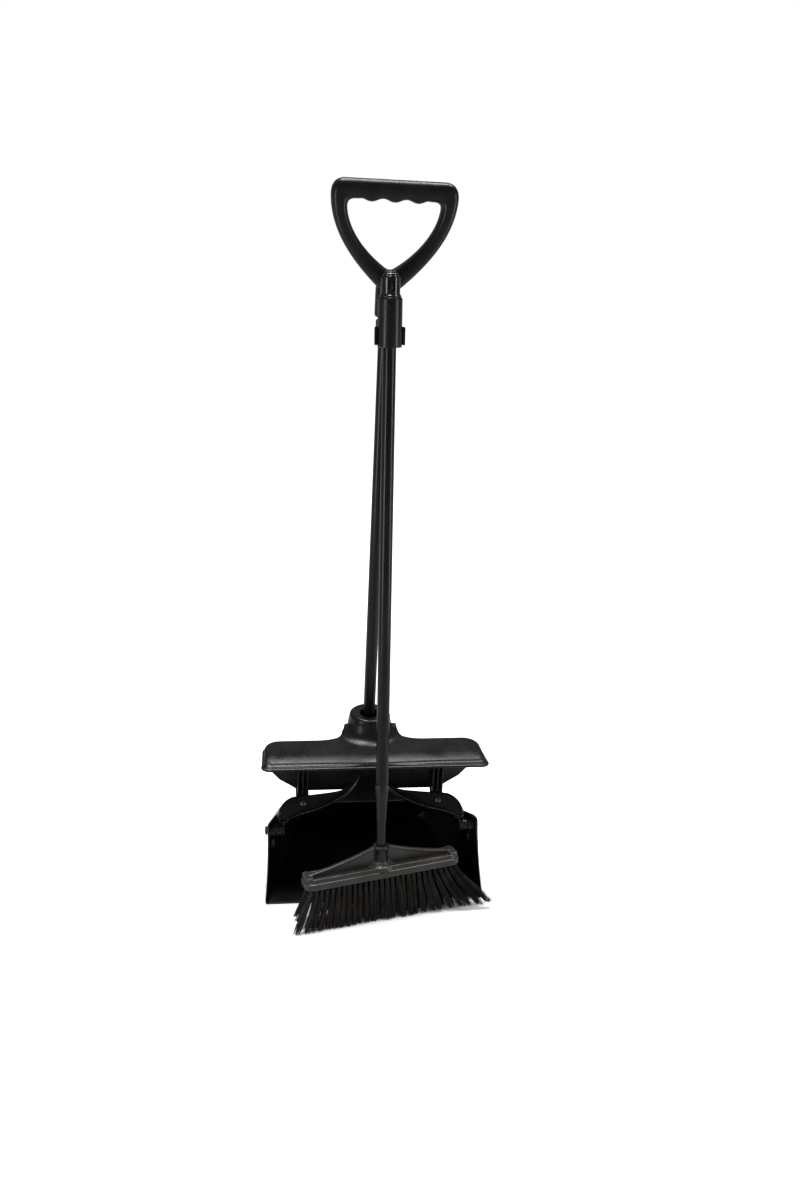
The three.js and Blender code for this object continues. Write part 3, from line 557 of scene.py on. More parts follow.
def build_pan():
    skin = pan_shell()
    inward = -surface_normals(skin)
    centre = skin.mean((0, 1))
    if np.sum(inward * (centre - skin)) < 0:
        inward = -inward
    thickness = np.full(skin.shape[:2], 2.6)
    thickness = np.where(skin[..., 1] < -60, np.interp(skin[..., 1], [-100, -60], [1.5, 2.6]), thickness)
    made = Mesh()
    shell(made, skin, skin + inward * thickness[..., None])
    ends = skin[:, -1]
    half = len(ends) // 2
    # the flat rear end, inside and out, as strips from side to side
    for shift, flip in ((0.0, 1), (2.6, -1)):
        line = ends + [0, -shift, 0]
        start = made.put(line)
        for j in range(half):
            quad = (start + half - j, start + half + j, start + half + j + 1, start + half - j - 1)
            made.faces.append(quad[::flip])
    for side in (-1, 1):
        turn = Matrix.Translation((side * 133.9, PIVOT_Y, PIVOT_Z)) @ Matrix.Rotation(side * RIGHT_ANGLE, 4, "Y")
        made.lathe(rounded_profile([(0, 0), (9, 0), (9, 8.4), (0, 8.4)], 0.8), turn, 48)
        # stiffening ribs and the small stop below the pivot, on the inner face of each wall
        for dy, dz, tall in ((-2.5, -19.0, 13.0), (3.0, -18.0, 11.0)):
            rib = rounded_bar(2.0, tall, 0.9, 5)
            at = Matrix.Translation((side * 137.2, PIVOT_Y + dy, PIVOT_Z + dz)) @ Matrix.Rotation(RIGHT_ANGLE, 4, "Y") @ Matrix.Rotation(RIGHT_ANGLE, 4, "Z")
            made.plate(rib, -2.6, 2.6, at, 0.6)
    piece = made.object("pan_shell", PAN, 50)
    return shown(piece, "pan", "pan_plastic", "pan_body")


# ---- yoke ----------------------------------------------------------------

OUTER_EDGE = [
    (132.5, 0), (131.5, 18), (125, 35), (113, 45), (100, 47.5),
    (70, 50), (42, 54), (27, 62), (19, 76), (13, 98),
]
ARCH_EDGE = [
    (124.5, 2), (117, 11.5), (108, 16.5), (96, 20.5), (80, 24.5), (60, 32),
    (43, 41), (28, 53), (18, 66), (12, 80), (6, 98),
]


def yoke_arm(side):
    """One arm of the wishbone, from its eye to the hub: a strip with a bead along its lower edge."""
    count = 150
    outer, arch = curve(OUTER_EDGE, count), curve(ARCH_EDGE, count)
    across = outer - arch
    wide = np.linalg.norm(across, axis=1, keepdims=True)
    across = across / wide
    # (share of the width, millimetres beyond it, height) round the section
    section = [
        (0, 0.0, -2.2), (0, 0.8, -3.0), (0.5, 0.0, -3.0), (1, -2.2, -3.0), (1, -0.7, -2.2), (1, 0.0, -0.6),
        (1, -0.2, 1.4), (1, -1.2, 2.6), (1, -3.0, 3.0), (0.75, 0.0, 2.7), (0.5, 0.0, 2.4), (0.25, 0.5, 2.4),
        (0, 3.4, 2.7), (0, 2.9, 3.9), (0, 2.1, 4.7), (0, 1.2, 4.7), (0, 0.3, 4.0), (0, 0.0, 2.4), (0, -0.1, 0.0),
    ]
    rings = []
    for share, beyond, height in section:
        flat = arch + across * (wide * share + beyond)
        rings.append(np.c_[flat * (side, 1), np.full(count, height)])
    return np.stack(rings, axis=1)


def build_yoke():
    made = Mesh()
    for side in (-1, 1):
        made.loft(yoke_arm(side), yoke_plane)
        x0 = -133.2 if side < 0 else 125.2
        eye = Matrix.Translation((x0, PIVOT_Y, PIVOT_Z)) @ Matrix.Rotation(RIGHT_ANGLE, 4, "Y")
        made.lathe(rounded_profile([(0, 0), (8, 0), (8, 8), (0, 8)], 0.8), eye, 40)
        # the bar across the root of each arm, above its eye, and a stiffening web in the eye's corner
        bar = rounded_bar(13, 3.4, 1.4, 6)
        made.plate(bar, 1.5, 5.2, yoke_plane @ Matrix.Translation((side * 124.0, 10.5, 0)), 0.9)
        made.plate(rounded_bar(3.0, 14, 1.2, 5), 1.5, 4.6, yoke_plane @ Matrix.Translation((side * 127.6, 18.5, 0)), 0.8)
    web = curve([(30, 37), (46, 39), (44, 50), (26, 59), (17, 75), (9, 97)], 40)
    made.plate(np.vstack([web, mirror(web)]), -2.4, -0.4, yoke_plane, 0.4)
    made.lathe(rounded_profile([(0, 113), (13.5, 113), (13.5, 174), (0, 174)], 1.6), hub_axis, 64)
    for turn in (0.6, 2.54):
        # ribs from the hub down to the arms
        rib = Matrix.Translation((0, POLE_Y, 0)) @ Matrix.Rotation(turn, 4, "Z")
        made.plate([(12, -1.4), (17, -1.4), (17, 1.4), (12, 1.4)], 116, 168, rib, 0.5)
    holes = Mesh()
    holes.lathe([(0, -150), (3.35, -150), (3.35, 150), (0, 150)], Matrix.Translation((0, PIVOT_Y, PIVOT_Z)) @ Matrix.Rotation(RIGHT_ANGLE, 4, "Y"), 32)
    holes.lathe([(0, 117), (8.55, 117), (8.55, 180), (0, 180)], pole_axis, 48)
    piece = fused("yoke_arms", made, holes, 0.75, 3, YOKE)
    return shown(piece, "handle", "yoke_plastic", "yoke")


# ---- hood ----------------------------------------------------------------

HOOD_ROUND = 8.0
HOOD_WALL = 2.8
RIM_STEP = 1.6
SOCKET_RADIUS = 29.0
FLARE = 22.0


def hood_edges(x):
    """Front and back of the hood's flat top at x, inside the rounded edge."""
    w = 151 - RIM_STEP - HOOD_ROUND
    front = -54 + RIM_STEP + HOOD_ROUND
    back = 14 - RIM_STEP - HOOD_ROUND
    end = np.clip((abs(x) - (w - 4)) / 4, 0, 1)
    front_y = front + 4 * (1 - np.sqrt(1 - end**2))
    corner = np.clip((abs(x) - (w - 14)) / 14, 0, 1)
    back_y = back - 14 * (1 - np.sqrt(1 - corner**2))
    lobe = 37 - RIM_STEP - HOOD_ROUND
    sweep = bezier([(76, back), (48, back), (lobe, back + 12), (lobe, POLE_Y)], 60)[::-1]
    if abs(x) < lobe:
        back_y = POLE_Y + math.sqrt(lobe**2 - x * x)
    elif abs(x) < 76:
        back_y = np.interp(abs(x), sweep[:, 0], sweep[:, 1])
    return front_y, back_y


def hood_height(x, y):
    """Height of the hood's top: gently crowned, dipping at the front middle, and flared up to the socket."""
    forward = np.clip((12 - y) / 66, 0, 1)
    brow = np.clip((-27 - y) / 17.4, 0, 1)
    top = 191.0 - 1.6 * forward**1.3 - 2.6 * brow**1.6 - 2.2 * np.exp(-((x / 46) ** 2)) * forward
    r = np.hypot(x, y - POLE_Y)
    near = np.clip((SOCKET_RADIUS + FLARE - r) / FLARE, 0, 0.955) * np.clip((POLE_Y + 12 - y) / 14, 0, 1)
    return top + FLARE * (1 - np.sqrt(1 - near**2))


def build_hood():
    w = 151 - RIM_STEP - HOOD_ROUND
    lobe = 37 - RIM_STEP - HOOD_ROUND
    half = np.unique(np.r_[0, lobe * np.sin(np.linspace(0, RIGHT_ANGLE, 26)), np.linspace(lobe, 76, 34), np.linspace(76, w - 14, 24), w - 14 + 14 * np.sin(np.linspace(0, RIGHT_ANGLE, 22))])
    xs = np.r_[-half[::-1], half[1:]]
    rows = 64
    top = np.zeros((len(xs), rows, 3))
    for i, x in enumerate(xs):
        front, back = hood_edges(x)
        ys = np.linspace(front, back, rows)
        top[i] = np.c_[np.full(rows, x), ys, hood_height(x, ys)]
    made = Mesh()
    n, m = top.shape[:2]
    low = top - [0, 0, HOOD_WALL]
    upper, under = made.put(top), made.put(low)
    for i in range(n - 1):
        for j in range(m - 1):
            a, b, c, d = i * m + j, (i + 1) * m + j, (i + 1) * m + j + 1, i * m + j + 1
            made.faces.append((upper + a, upper + b, upper + c, upper + d))
            made.faces.append((under + d, under + c, under + b, under + a))
    loop = boundary(n, m)
    edge = np.array([top[i, j] for i, j in loop])
    flat = edge[:, :2]
    for _ in range(3):
        flat = flat * 0.5 + (np.roll(flat, 1, axis=0) + np.roll(flat, -1, axis=0)) * 0.25
    after, before = np.roll(flat, -2, axis=0), np.roll(flat, 2, axis=0)
    tangent = after - before
    tangent /= np.linalg.norm(tangent, axis=1, keepdims=True)
    out = np.c_[tangent[:, 1], -tangent[:, 0]]
    if np.sum(out * (flat - flat.mean(0))) < 0:
        out = -out
    strips = [[upper + i * m + j for i, j in loop]]

    corner = np.clip(2.2 * np.abs(out[:, 0] * out[:, 1]) - 0.1, 0, 1) * (edge[:, 1] < -20)

    def ring(offset, z):
        reach = offset * (1 + 0.22 * corner)
        start = made.put(np.c_[edge[:, :2] + out * reach[:, None], z])
        strips.append(list(range(start, start + len(loop))))

    high = edge[:, 2]
    for k in range(1, 9):
        turn = RIGHT_ANGLE * k / 8
        drop = np.interp(edge[:, 1], [-30, 0], [0.45, 0.3]) * HOOD_ROUND * (1 - math.cos(turn))
        ring(HOOD_ROUND * math.sin(turn), np.maximum(high - drop, 184.8 - 0.1 * k / 8))
    rim = 180.0
    # down the wall, out into the groove above the bead, round the bead and up the inside
    for offset, z in (
        (8.1, 184.5), (8.2, 184.1), (8.6, 183.8), (9.4, 183.7), (10.2, 183.4), (10.8, 182.8), (11.0, 182.0), (10.8, 181.0),
        (10.1, 180.3), (9.0, 180.0), (7.4, 180.0), (6.4, 180.2), (5.8, 180.8), (5.4, 181.6), (5.2, 182.4),
    ):
        ring(offset, np.full(len(loop), rim + (z - rim)))
    for k in range(1, 5):
        turn = RIGHT_ANGLE * k / 5
        ring(5.2 - 5.2 * (1 - math.cos(turn)), np.maximum(high - HOOD_WALL - 2.2 * (1 - math.sin(turn)), 182.6))
    strips.append([under + i * m + j for i, j in loop])
    for a, b in zip(strips, strips[1:]):
        for k in range(len(loop)):
            e = (k + 1) % len(loop)
            made.faces.append((a[k], a[e], b[e], b[k]))
    # the socket, with a rounded mouth
    made.lathe(
        np.vstack([
            [(13.5, 186.6), (30.7, 186.6), (30.6, 200), (30.2, 204.5), (29.6, 207.5), (29.0, 210)],
            np.c_[23.4 + 5.4 * np.cos(np.linspace(0, RIGHT_ANGLE, 10)), 212.6 + 5.4 * np.sin(np.linspace(0, RIGHT_ANGLE, 10))],
            [(20, 218.1), (17.2, 217.9)],
            bezier([(15.6, 217.7), (13.9, 217.2), (13.5, 215)], 6),
            [(13.5, 200), (13.5, 186.6)],
        ]),
        hub_axis,
        96,
    )
    for points in made.points:
        ahead_of = np.clip((-10 - points[:, 1]) / 40, 0, 1)
        points[:, 0] += np.sign(points[:, 0]) * np.clip((np.abs(points[:, 0]) - 110) / 40, 0, 1) * 3.0 * ahead_of
    piece = made.object("hood_shell", HOOD, 46)
    bore = Mesh().lathe([(0, 170), (13.5, 170), (13.5, 214), (0, 214)], hub_axis, 96).object("bore", HOOD)
    cut = piece.modifiers.new("bore", "BOOLEAN")
    cut.operation = "DIFFERENCE"
    cut.solver = "EXACT"
    cut.use_self = True
    cut.object = bore
    data = bpy.data.meshes.new_from_object(piece.evaluated_get(bpy.context.evaluated_depsgraph_get()))
    for spare in (piece, bore):
        bpy.data.objects.remove(spare)
    piece = dressed("hood_cover", data, HOOD, 46)
    shown(piece, "handle", "hood_plastic", "hood")

    back = Mesh()
    outline = np.array([(143, 186), (141, 146), (127, 130), (113, 121), (103, 114), (92, 111), (25, 111), (24.5, 120), (19, 128), (15, 133), (8, 135)], float)
    line = evenly(np.vstack([outline, mirror(outline), outline[:1]]), 300)[:-1]
    upright = Matrix.Translation((0, 10.2, 0)) @ Matrix.Rotation(RIGHT_ANGLE, 4, "X")
    back.plate(line, 0.0, 2.8, upright, 0.9)
    for side in (-1, 1):
        x = side * 95
        lug = rounded_bar(18, 39, 3, 6)
        back.plate(lug, -7.3, -3.3, yoke_plane @ Matrix.Translation((x, 47.5, 0)), 1.0)
        for dx in (-6.5, 0, 6.5):
            # gussets between the back wall and the lug
            rib = [(-7.6, 114), (8.4, 119), (8.4, 183), (-4.6, 183), (-6, 140)]
            back.plate(evenly(rib + rib[:1], 60)[:-1], -1.1, 1.1, Matrix.Translation((x + dx, 0, 0)) @ Matrix.Rotation(RIGHT_ANGLE, 4, "Z") @ Matrix.Rotation(RIGHT_ANGLE, 4, "X"), 0.5)
    wall = back.object("hood_back_wall", HOOD, 46)
    return shown(wall, "handle", "hood_plastic")


# ---- D handle ------------------------------------------------------------


def grip_rings():
    """Sections round the loop of the handle, each between its outer and its inner edge."""
    outer = [
        np.linspace((0, 931), (60, 931), 70, endpoint=False),
        bezier([(60, 931), (70, 931), (76.6, 925), (76.6, 912)], 40)[:-1],
        bezier([(76.6, 912), (75.5, 872), (50, 838), (15, 806)], 90)[:-1],
        bezier([(15, 806), (9, 802), (0, 800), (0, 800)], 20),
    ]
    x = np.linspace(0, 46, 70, endpoint=False)
    fade = np.clip((44 - x) / 8, 0, 1)
    swell = 1.9 * np.cos(2 * math.pi * x / 28) * fade
    inner = [
        np.c_[x, 906.8 - swell + 0.9 * (1 - fade)],
        bezier([(46, 907.7), (56, 907.7), (57, 903), (56, 896)], 40)[:-1],
        bezier([(56, 896), (52, 868), (27, 842), (3.4, 827.2)], 90)[:-1],
        bezier([(3.4, 827.2), (1.5, 826.2), (0, 826), (0, 826)], 20),
    ]
    outer, inner = np.vstack(outer), np.vstack(inner)
    outer = np.vstack([outer, mirror(outer)[1:-1]])
    inner = np.vstack([inner, mirror(inner)[1:-1]])
    turn = np.linspace(0, 2 * math.pi, 28, endpoint=False)
    power = 2 / 2.7
    across = np.sign(np.cos(turn)) * np.abs(np.cos(turn)) ** power
    deep = np.sign(np.sin(turn)) * np.abs(np.sin(turn)) ** power
    middle, reach = (outer + inner) / 2, (outer - inner) / 2
    depth = np.interp(middle[:, 1], [812, 835, 880, 905], [12.4, 10.6, 11.2, 12.4])
    rings = []
    for a, d in zip(across, deep):
        flat = middle + reach * a
        rings.append(np.c_[flat[:, 0], depth * d, flat[:, 1]])
    return np.stack(rings, axis=1)


def build_grip():
    made = Mesh().loft(grip_rings(), grip_axis, closed=True)
    made.lathe(
        rounded_profile([(0, 770), (13.2, 770), (14, 773), (13.9, 800), (13.0, 818), (9, 826), (0, 827)], 1.6),
        pole_axis,
        64,
    )
    holes = Mesh().lathe([(0, 760), (8.55, 760), (8.55, 807), (0, 807)], pole_axis, 48)
    piece = fused("grip_loop", made, holes, 0.9, 5, GRIP)
    # the moulding seam across the middle of the bar
    co = np.zeros(len(piece.data.vertices) * 3)
    piece.data.vertices.foreach_get("co", co)
    co = co.reshape(-1, 3)
    on_bar = co[:, 2] > 0.9
    middle_x = -4.0 * MM
    groove = 0.35 * MM * np.exp(-(((co[:, 0] - middle_x) / (0.55 * MM)) ** 2)) * on_bar
    centre = np.array([0, POLE_Y, 918.5]) * MM
    inward = centre - co
    inward[:, 0] = 0
    inward /= np.maximum(np.linalg.norm(inward, axis=1, keepdims=True), 1e-9)
    co += inward * groove[:, None]
    piece.data.vertices.foreach_set("co", co.ravel())
    piece.data.update()
    return shown(piece, "handle", "handle_plastic", "d_handle")


# ---- poles, clip, cap ----------------------------------------------------


def build_poles():
    made = Mesh().lathe(ring_profile(7.05, POLE_RADIUS, 122, 806, 0.3), pole_axis, 72)
    shown(made.object("pan_tube", TUBE), "handle", "pole_coating", "pan_pole")
    made = Mesh().lathe(ring_profile(7.05, POLE_RADIUS, 182, 812, 0.3), broom_axis, 72)
    shown(made.object("broom_tube", TUBE), "broom", "pole_coating", "broom_pole")
    foot = rounded_profile(
        [(0, 80), (5.6, 80), (5.6, 101), (6.3, 101.6), (6.3, 124), (7.0, 142), (8.0, 166), (8.55, 176), (8.55, 186), (7.9, 187), (0, 187)],
        1.2,
    )
    made = Mesh().lathe(foot, broom_axis, 72)
    shown(made.object("broom_taper", FOOT), "broom", "pin_plastic", "broom_foot")


def build_cap():
    profile = np.vstack([
        [(0, 803), (8.6, 803), (8.6, 752.6), (9.0, 752), (14.0, 752), (14.8, 752.5), (15.0, 753.6)],
        [(15.0, 790), (14.9, 806)],
        bezier([(14.9, 808.5), (14.8, 810.6), (13.4, 810.9)], 6),
        bezier([(12.9, 811.1), (14.2, 812.2), (12.9, 813.4)], 8),
        [(12.0, 814.0), (11.8, 816)],
        [(11.8, 832.5)],
        bezier([(11.8, 833.6), (11.7, 835.4), (10.8, 835.8)], 5),
        [(10.3, 836.2)],
        bezier([(10.5, 837.2), (10.0, 838.6), (8.7, 839.0)], 5),
        [(8.2, 839.3)],
        bezier([(7.9, 840.6), (5.4, 842), (0.4, 842)], 10),
        [(0, 842)],
    ])
    made = Mesh().lathe(profile, broom_axis, 96)
    hole = rounded_bar(9.0, 15.5, 4.4, 12)
    cutter = Mesh().plate(hole, -30, 30, broom_axis @ Matrix.Translation((0, 0, 825.5)) @ Matrix.Rotation(RIGHT_ANGLE, 4, "X"), 0.1)
    piece = made.object("cap_rough", CAP, 38)
    tool = cutter.object("cap_hole", CAP)
    cut = piece.modifiers.new("hole", "BOOLEAN")
    cut.operation = "DIFFERENCE"
    cut.solver = "EXACT"
    cut.object = tool
    soften = piece.modifiers.new("edge", "BEVEL")
    soften.width = 0.7 * MM
    soften.segments = 3
    soften.limit_method = "ANGLE"
    soften.angle_limit = math.radians(50)
    data = bpy.data.meshes.new_from_object(piece.evaluated_get(bpy.context.evaluated_depsgraph_get()))
    for spare in (piece, tool):
        bpy.data.objects.remove(spare)
    piece = dressed("cap_and_sleeve", data, CAP, 38)
    data.materials.append(SLEEVE)
    along = np.array(broom_axis.inverted())
    for face in data.polygons:
        height = (along[:3, :3] @ np.array(face.center) / MM + along[:3, 3])[2]
        face.material_index = 1 if height < 811 else 0
    return shown(piece, "broom", "cap_plastic", "broom_cap")


def build_clip():
    made = Mesh()
    along = 755 / math.cos(BROOM_LEAN)
    turn = np.linspace(math.radians(-9), math.radians(189), 60)
    section = rounded_bar(3.0, 22, 1.3, 6)
    rings = []
    for a in turn:
        thick = 1 + 0.35 * math.exp(-((min(a - turn[0], turn[-1] - a) / 0.2) ** 2))
        radius = 17.0 + section[:, 0] * thick
        rings.append(np.c_[radius * math.cos(a), radius * math.sin(a), along + section[:, 1]])
    made.loft(rings, broom_axis)
    made.lathe(rounded_profile([(0, 744), (11.95, 744), (11.95, 766), (0, 766)], 1.2), pole_axis, 64)
    neck = rounded_bar(14, 30, 1.5, 5)
    made.plate(neck, 744.4, 765.6, pole_axis @ Matrix.Translation((-1, 23 - POLE_Y, 0)), 1.0)
    holes = Mesh().lathe([(0, 700), (8.55, 700), (8.55, 800), (0, 800)], pole_axis, 48)
    holes.lathe([(0, 700), (15.5, 700), (15.5, 800), (0, 800)], broom_axis, 72)
    piece = fused("clip_jaws", made, holes, 0.6, 2, GRIP)
    return shown(piece, "handle", "handle_plastic", "broom_clip")


# ---- broom head and bristles ---------------------------------------------

HALF_LENGTH = 109.0


def build_head():
    made = Mesh()
    foot = rounded_bar(2 * HALF_LENGTH, 36, 13, 16)
    made.plate(foot, BLOCK_BOTTOM, BLOCK_BOTTOM + 9, head_frame, 1.6)
    step = rounded_bar(2 * HALF_LENGTH - 5, 31, 11, 16)
    made.plate(step, BLOCK_BOTTOM + 7, BLOCK_TOP - 1.5, head_frame, 1.2)
    # raised rim along the top, with the recess inside it
    rim = rounded_bar(2 * HALF_LENGTH - 7, 28, 10, 16)
    hollow = rounded_bar(2 * HALF_LENGTH - 14, 21, 7, 16)
    rings = []
    rim_steps = (
        (rim, BLOCK_TOP - 3), (rim, BLOCK_TOP + 0.6), (inset(rim, 0.7), BLOCK_TOP + 1.2),
        (inset(hollow, -0.7), BLOCK_TOP + 1.2), (hollow, BLOCK_TOP + 0.6), (hollow, BLOCK_TOP - 3),
    )
    for outline, z in rim_steps:
        rings.append(np.c_[outline, np.full(len(outline), z)])
    made.loft(rings, head_frame, closed=True)
    # the triangular gusset up to the ferrule, with a bead along its sloping edges
    sloping = bezier([(HALF_LENGTH - 3, BLOCK_TOP + 1.2), (62, 79.5), (24, 92), (9, 97.5)], 60)
    web = np.vstack([[(HALF_LENGTH - 4, BLOCK_TOP - 3)], sloping])
    upright = head_frame @ Matrix.Rotation(RIGHT_ANGLE, 4, "X")
    made.plate(np.vstack([web, mirror(web)]), -2.4, 2.4, upright, 0.8)
    section = rounded_bar(7.0, 3.4, 1.5, 5)
    for side in (-1, 1):
        rings = []
        for i, (x, z) in enumerate(sloping):
            step_on = sloping[min(i + 1, len(sloping) - 1)] - sloping[max(i - 1, 0)]
            normal = np.array([-step_on[1], step_on[0]]) / np.linalg.norm(step_on)
            rings.append([(side * (x + normal[0] * v), u, z + normal[1] * v) for u, v in section])
        made.loft(rings, head_frame)
    # ends of the block, where the gusset's bead runs into a rounded shoulder
    for side in (-1, 1):
        shoulder = rounded_bar(11, 26, 5, 8)
        place = head_frame @ Matrix.Translation((side * (HALF_LENGTH - 7.5), 0, 0))
        made.plate(shoulder, BLOCK_TOP - 3, BLOCK_TOP + 3.2, place, 1.6)
    flare = [(0, 65), (18, 65), (17, 72.8), (14, 74), (11.8, 76), (10.7, 78.6), (0, 78.6)]
    made.lathe(rounded_profile(flare, 0.9), broom_axis, 80)
    holes = Mesh().lathe([(0, 75), (8.4, 75), (8.4, 106), (0, 106)], broom_axis, 48)
    piece = fused("head_block", made, holes, 0.7, 3, BLOCK)
    shown(piece, "broom", "block_plastic", "broom_head")
    collar = [
        (6.6, 75.4), (10.1, 75.4), (10.2, 76.4), (9.9, 78.5), (9.9, 95.4), (10.7, 96.2),
        (11.1, 97.2), (11.1, 98.6), (10.6, 99.6), (9.8, 100), (6.6, 100), (6.6, 75.4),
    ]
    ferrule = Mesh().lathe(collar, broom_axis, 80).object("head_ferrule", FOOT, 50)
    shown(ferrule, "broom", "block_plastic")


TUFTS = 28
PER_TUFT = 52
BRISTLE_STEPS = 7


def build_bristles():
    to_world = np.array(head_frame, float)
    for row in range(4):
        offset = (row - 1.5) * 9.0
        made = Mesh()
        for i in range(TUFTS):
            u = -1 + 2 * i / (TUFTS - 1)
            stagger = 0.5 * (row % 2) * 2 / (TUFTS - 1) * (1 if i < TUFTS - 1 else 0)
            u_here = u + stagger
            end = max(0, (u - 0.4) / 0.6) ** 1.5
            fan = 16 * np.sign(u) * abs(u) ** 1.6 + (30 if row < 2 else 20) * end - 6 * max(0, (-u - 0.6) / 0.4)
            lean = rng.normal(0, 1.6)
            tuft_tip = np.array([u_here * 101 + fan + lean, offset * 1.12 - 13 * end + rng.normal(0, 0.6)])
            lift = 8.0 * end
            lowest = (0.7 if row < 2 else 4.6) + lift
            count = (PER_TUFT if row < 2 else PER_TUFT - 16) + int(30 * end + 22 * max(0, -u - 0.4))
            for _ in range(count):
                a, r = rng.uniform(0, 2 * math.pi), 2.15 * math.sqrt(rng.uniform())
                root = np.array([u_here * 101 + r * math.cos(a), offset + r * math.sin(a), BLOCK_BOTTOM + 0.6])
                spread = rng.normal(0, 1.0, 2) * (1.8 + 1.1 * end + 0.5 * max(0, -u - 0.4), 1.2)
                tip = np.r_[tuft_tip + spread + [r * math.cos(a) * 0.9, r * math.sin(a) * 0.6], 0.0]
                short = abs(rng.normal(0, 1.3)) + (rng.uniform(3, 14) if rng.uniform() < 0.06 else 0)
                world_root = to_world[:3, :3] @ root + to_world[:3, 3]
                world_tip = to_world[:3, :3] @ tip + to_world[:3, 3]
                share = (world_root[2] - lowest - short) / (world_root[2] - world_tip[2])
                world_tip = world_root + (world_tip - world_root) * share
                bow = rng.normal(0, 0.9, 3) * (1, 0.7, 0)
                t = np.linspace(0, 1, BRISTLE_STEPS)[:, None]
                line = world_root + (world_tip - world_root) * t
                outward = to_world[:3, 0] * fan * 0.16
                line = line + np.sin(t * math.pi) * bow - np.sin(t * math.pi) * outward * (1 - t)
                thick = np.interp(t[:, 0], [0, 0.7, 1], [0.36, 0.33, 0.2])
                rings = line[:, None, :] + thick[:, None, None] * np.array(
                    [(1, 0, 0), (0, 1, 0), (-1, 0, 0), (0, -1, 0)]
                )
                made.loft(rings)
        piece = made.object(f"bristles_{row + 1}", BRISTLES[row], 80)
        shown(piece, "broom", "bristle", f"bristle_row_{row + 1}")


# ---- pivots and small parts ----------------------------------------------


def build_pins():
    for side, word in ((-1, "left"), (1, "right")):
        turn = Matrix.Translation((side * 145.6, PIVOT_Y, PIVOT_Z)) @ Matrix.Rotation(-side * RIGHT_ANGLE, 4, "Y")
        pin = [
            (0, -2.4), (2.2, -2.4), (2.4, -3.0), (4.9, -3.0), (6, -1.8),
            (6, 0), (3, 0), (3, 23.4), (2.4, 24), (0, 24),
        ]
        head = rounded_profile(pin, 0.5)
        made = Mesh().lathe(head, turn, 48)
        shown(made.object("pivot_" + word, SMALL), "pan", "pin_plastic", "pivot_pin_" + word)


build_pan()
build_yoke()
build_hood()
build_grip()
build_poles()
build_cap()
build_clip()
build_head()
build_bristles()
build_pins()

for name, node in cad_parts.items():
    if not node.hide_render:
        node.data.materials.clear()
        node.data.materials.append(STEEL if "screw" in name else SMALL)
        node.data.shade_smooth()
        edges = node.modifiers.new("edges", "BEVEL")
        edges.width = 0.25 * MM
        edges.segments = 2
        edges.limit_method = "ANGLE"
        edges.angle_limit = math.radians(40)


# ---- stage, light and camera ---------------------------------------------


def build_stage():
    data = bpy.data.meshes.new("floor")
    size = 14.0
    corners = [(-size, -size, 0), (size, -size, 0), (size, size, 0), (-size, size, 0)]
    data.from_pydata(corners, [], [(0, 1, 2, 3)])
    n = Nodes("paper_floor")
    paper = n.noise(3, 3, 0.5)
    n.shader.inputs["Roughness"].default_value = 0.9
    n.shader.inputs["Specular IOR Level"].default_value = 0.1
    # The floor is painted darker grey for glossy rays only, so its reflections on the object show painted shade.
    painted_dark_reflection = n.add("ShaderNodeLightPath").outputs["Is Glossy Ray"]
    tone = n.mix(paper, (0.9, 0.9, 0.9, 1), (0.93, 0.93, 0.93, 1))
    n.link(n.mix(painted_dark_reflection, tone, (0.4, 0.4, 0.4, 1)), "Base Color")
    data.materials.append(n.material)
    floor = bpy.data.objects.new("floor", data)
    bpy.context.scene.collection.objects.link(floor)


def area_light(name, place, aim, size, power):
    data = bpy.data.lights.new(name, "AREA")
    data.shape = "RECTANGLE"
    data.size, data.size_y = size
    data.energy = power
    lamp = bpy.data.objects.new(name, data)
    lamp.location = place
    lamp.rotation_euler = (Vector(aim) - Vector(place)).to_track_quat("-Z", "Y").to_euler()
    bpy.context.scene.collection.objects.link(lamp)


def sun(name, azimuth, elevation, spread, strength):
    """A soft sun that shines from a heading, in degrees from the front to the right, and a height."""
    data = bpy.data.lights.new(name, "SUN")
    data.angle = math.radians(spread)
    data.energy = strength
    lamp = bpy.data.objects.new(name, data)
    turn, rise = math.radians(azimuth), math.radians(elevation)
    toward = Vector((math.sin(turn) * math.cos(rise), -math.cos(turn) * math.cos(rise), math.sin(rise)))
    lamp.rotation_euler = toward.to_track_quat("Z", "Y").to_euler()
    bpy.context.scene.collection.objects.link(lamp)


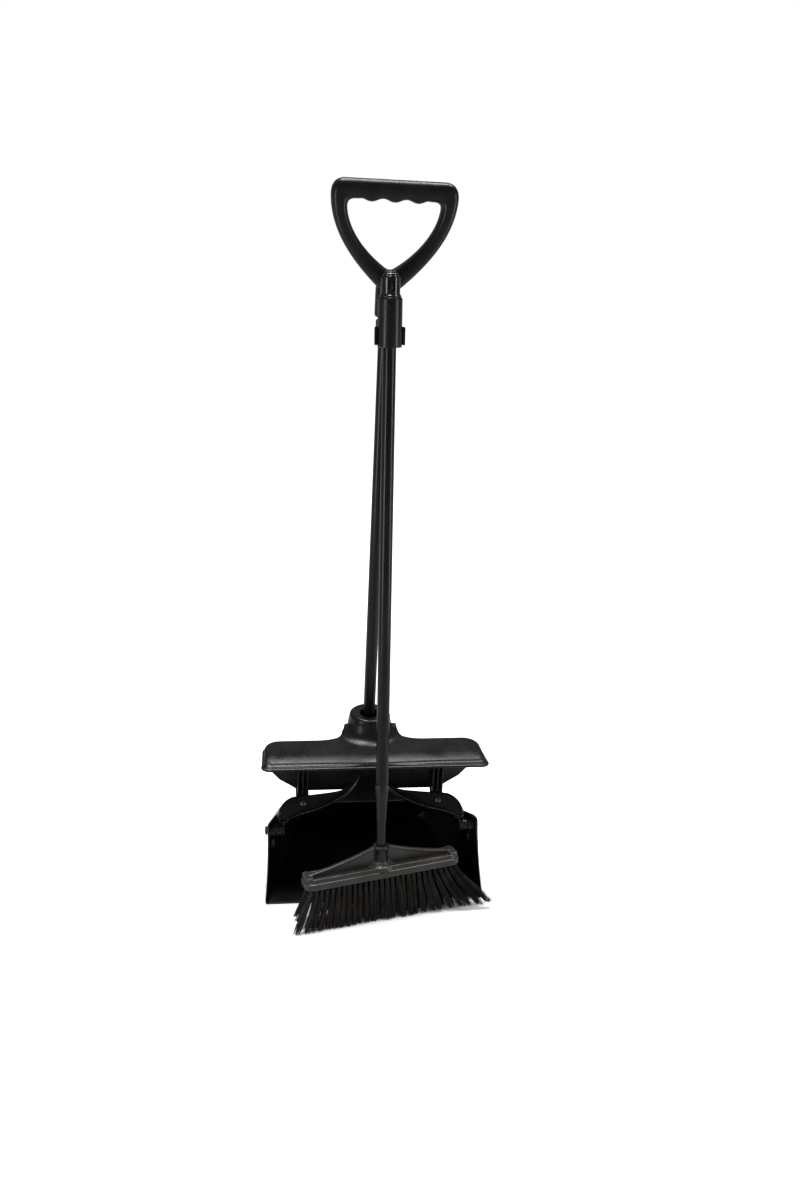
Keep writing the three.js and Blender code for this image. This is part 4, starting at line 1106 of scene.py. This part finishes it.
build_stage()
world = bpy.data.worlds.new("soft_world")
world.use_nodes = True
tree = world.node_tree
soft = tree.nodes["Background"]
soft.inputs["Color"].default_value = (1, 1, 1, 1)
soft.inputs["Strength"].default_value = 0.22
paper = tree.nodes.new("ShaderNodeBackground")
paper.inputs["Color"].default_value = (1, 1, 1, 1)
seen = tree.nodes.new("ShaderNodeLightPath")
blend = tree.nodes.new("ShaderNodeMixShader")
tree.links.new(seen.outputs["Is Camera Ray"], blend.inputs[0])
tree.links.new(soft.outputs[0], blend.inputs[1])
tree.links.new(paper.outputs[0], blend.inputs[2])
tree.links.new(blend.outputs[0], tree.nodes["World Output"].inputs["Surface"])
bpy.context.scene.world = world
bpy.context.scene.view_settings.view_transform = "Standard"
sun("key", 200, 80, 16, 2.95)
area_light("left_strip", (-1.3, -0.9, 0.6), (0, 0, 0.3), (0.3, 1.2), 12)
area_light("right_strip", (1.3, -0.7, 0.6), (0, 0, 0.3), (0.3, 1.2), 10)
area_light("rear", (0.3, 0.95, 2.3), (0, 0, 0.2), (1.6, 0.4), 44)

# The camera stands a little left of the front and above, turned slightly on its own axis.
YAW, PITCH, ROLL = (math.radians(v) for v in (8.4286, 23.8369, 3.052))
ahead = Vector((math.sin(YAW) * math.cos(PITCH), math.cos(YAW) * math.cos(PITCH), -math.sin(PITCH)))
level = Vector((math.cos(YAW), -math.sin(YAW), 0))
above = level.cross(ahead)
right = level * math.cos(ROLL) + above * math.sin(ROLL)
up = above * math.cos(ROLL) - level * math.sin(ROLL)
lens = bpy.data.cameras.new("camera")
lens.sensor_width = 36
lens.lens = 36 * 1297.31 / 1200
lens.shift_x = 25.407 / 1200
lens.shift_y = 5.069 / 1200
camera = bpy.data.objects.new("camera", lens)
camera.matrix_world = Matrix(
    (
        (right.x, up.x, -ahead.x, -0.2363),
        (right.y, up.y, -ahead.y, -1.5465),
        (right.z, up.z, -ahead.z, 1.0898),
        (0, 0, 0, 1),
    )
)
bpy.context.scene.collection.objects.link(camera)
bpy.context.scene.camera = camera
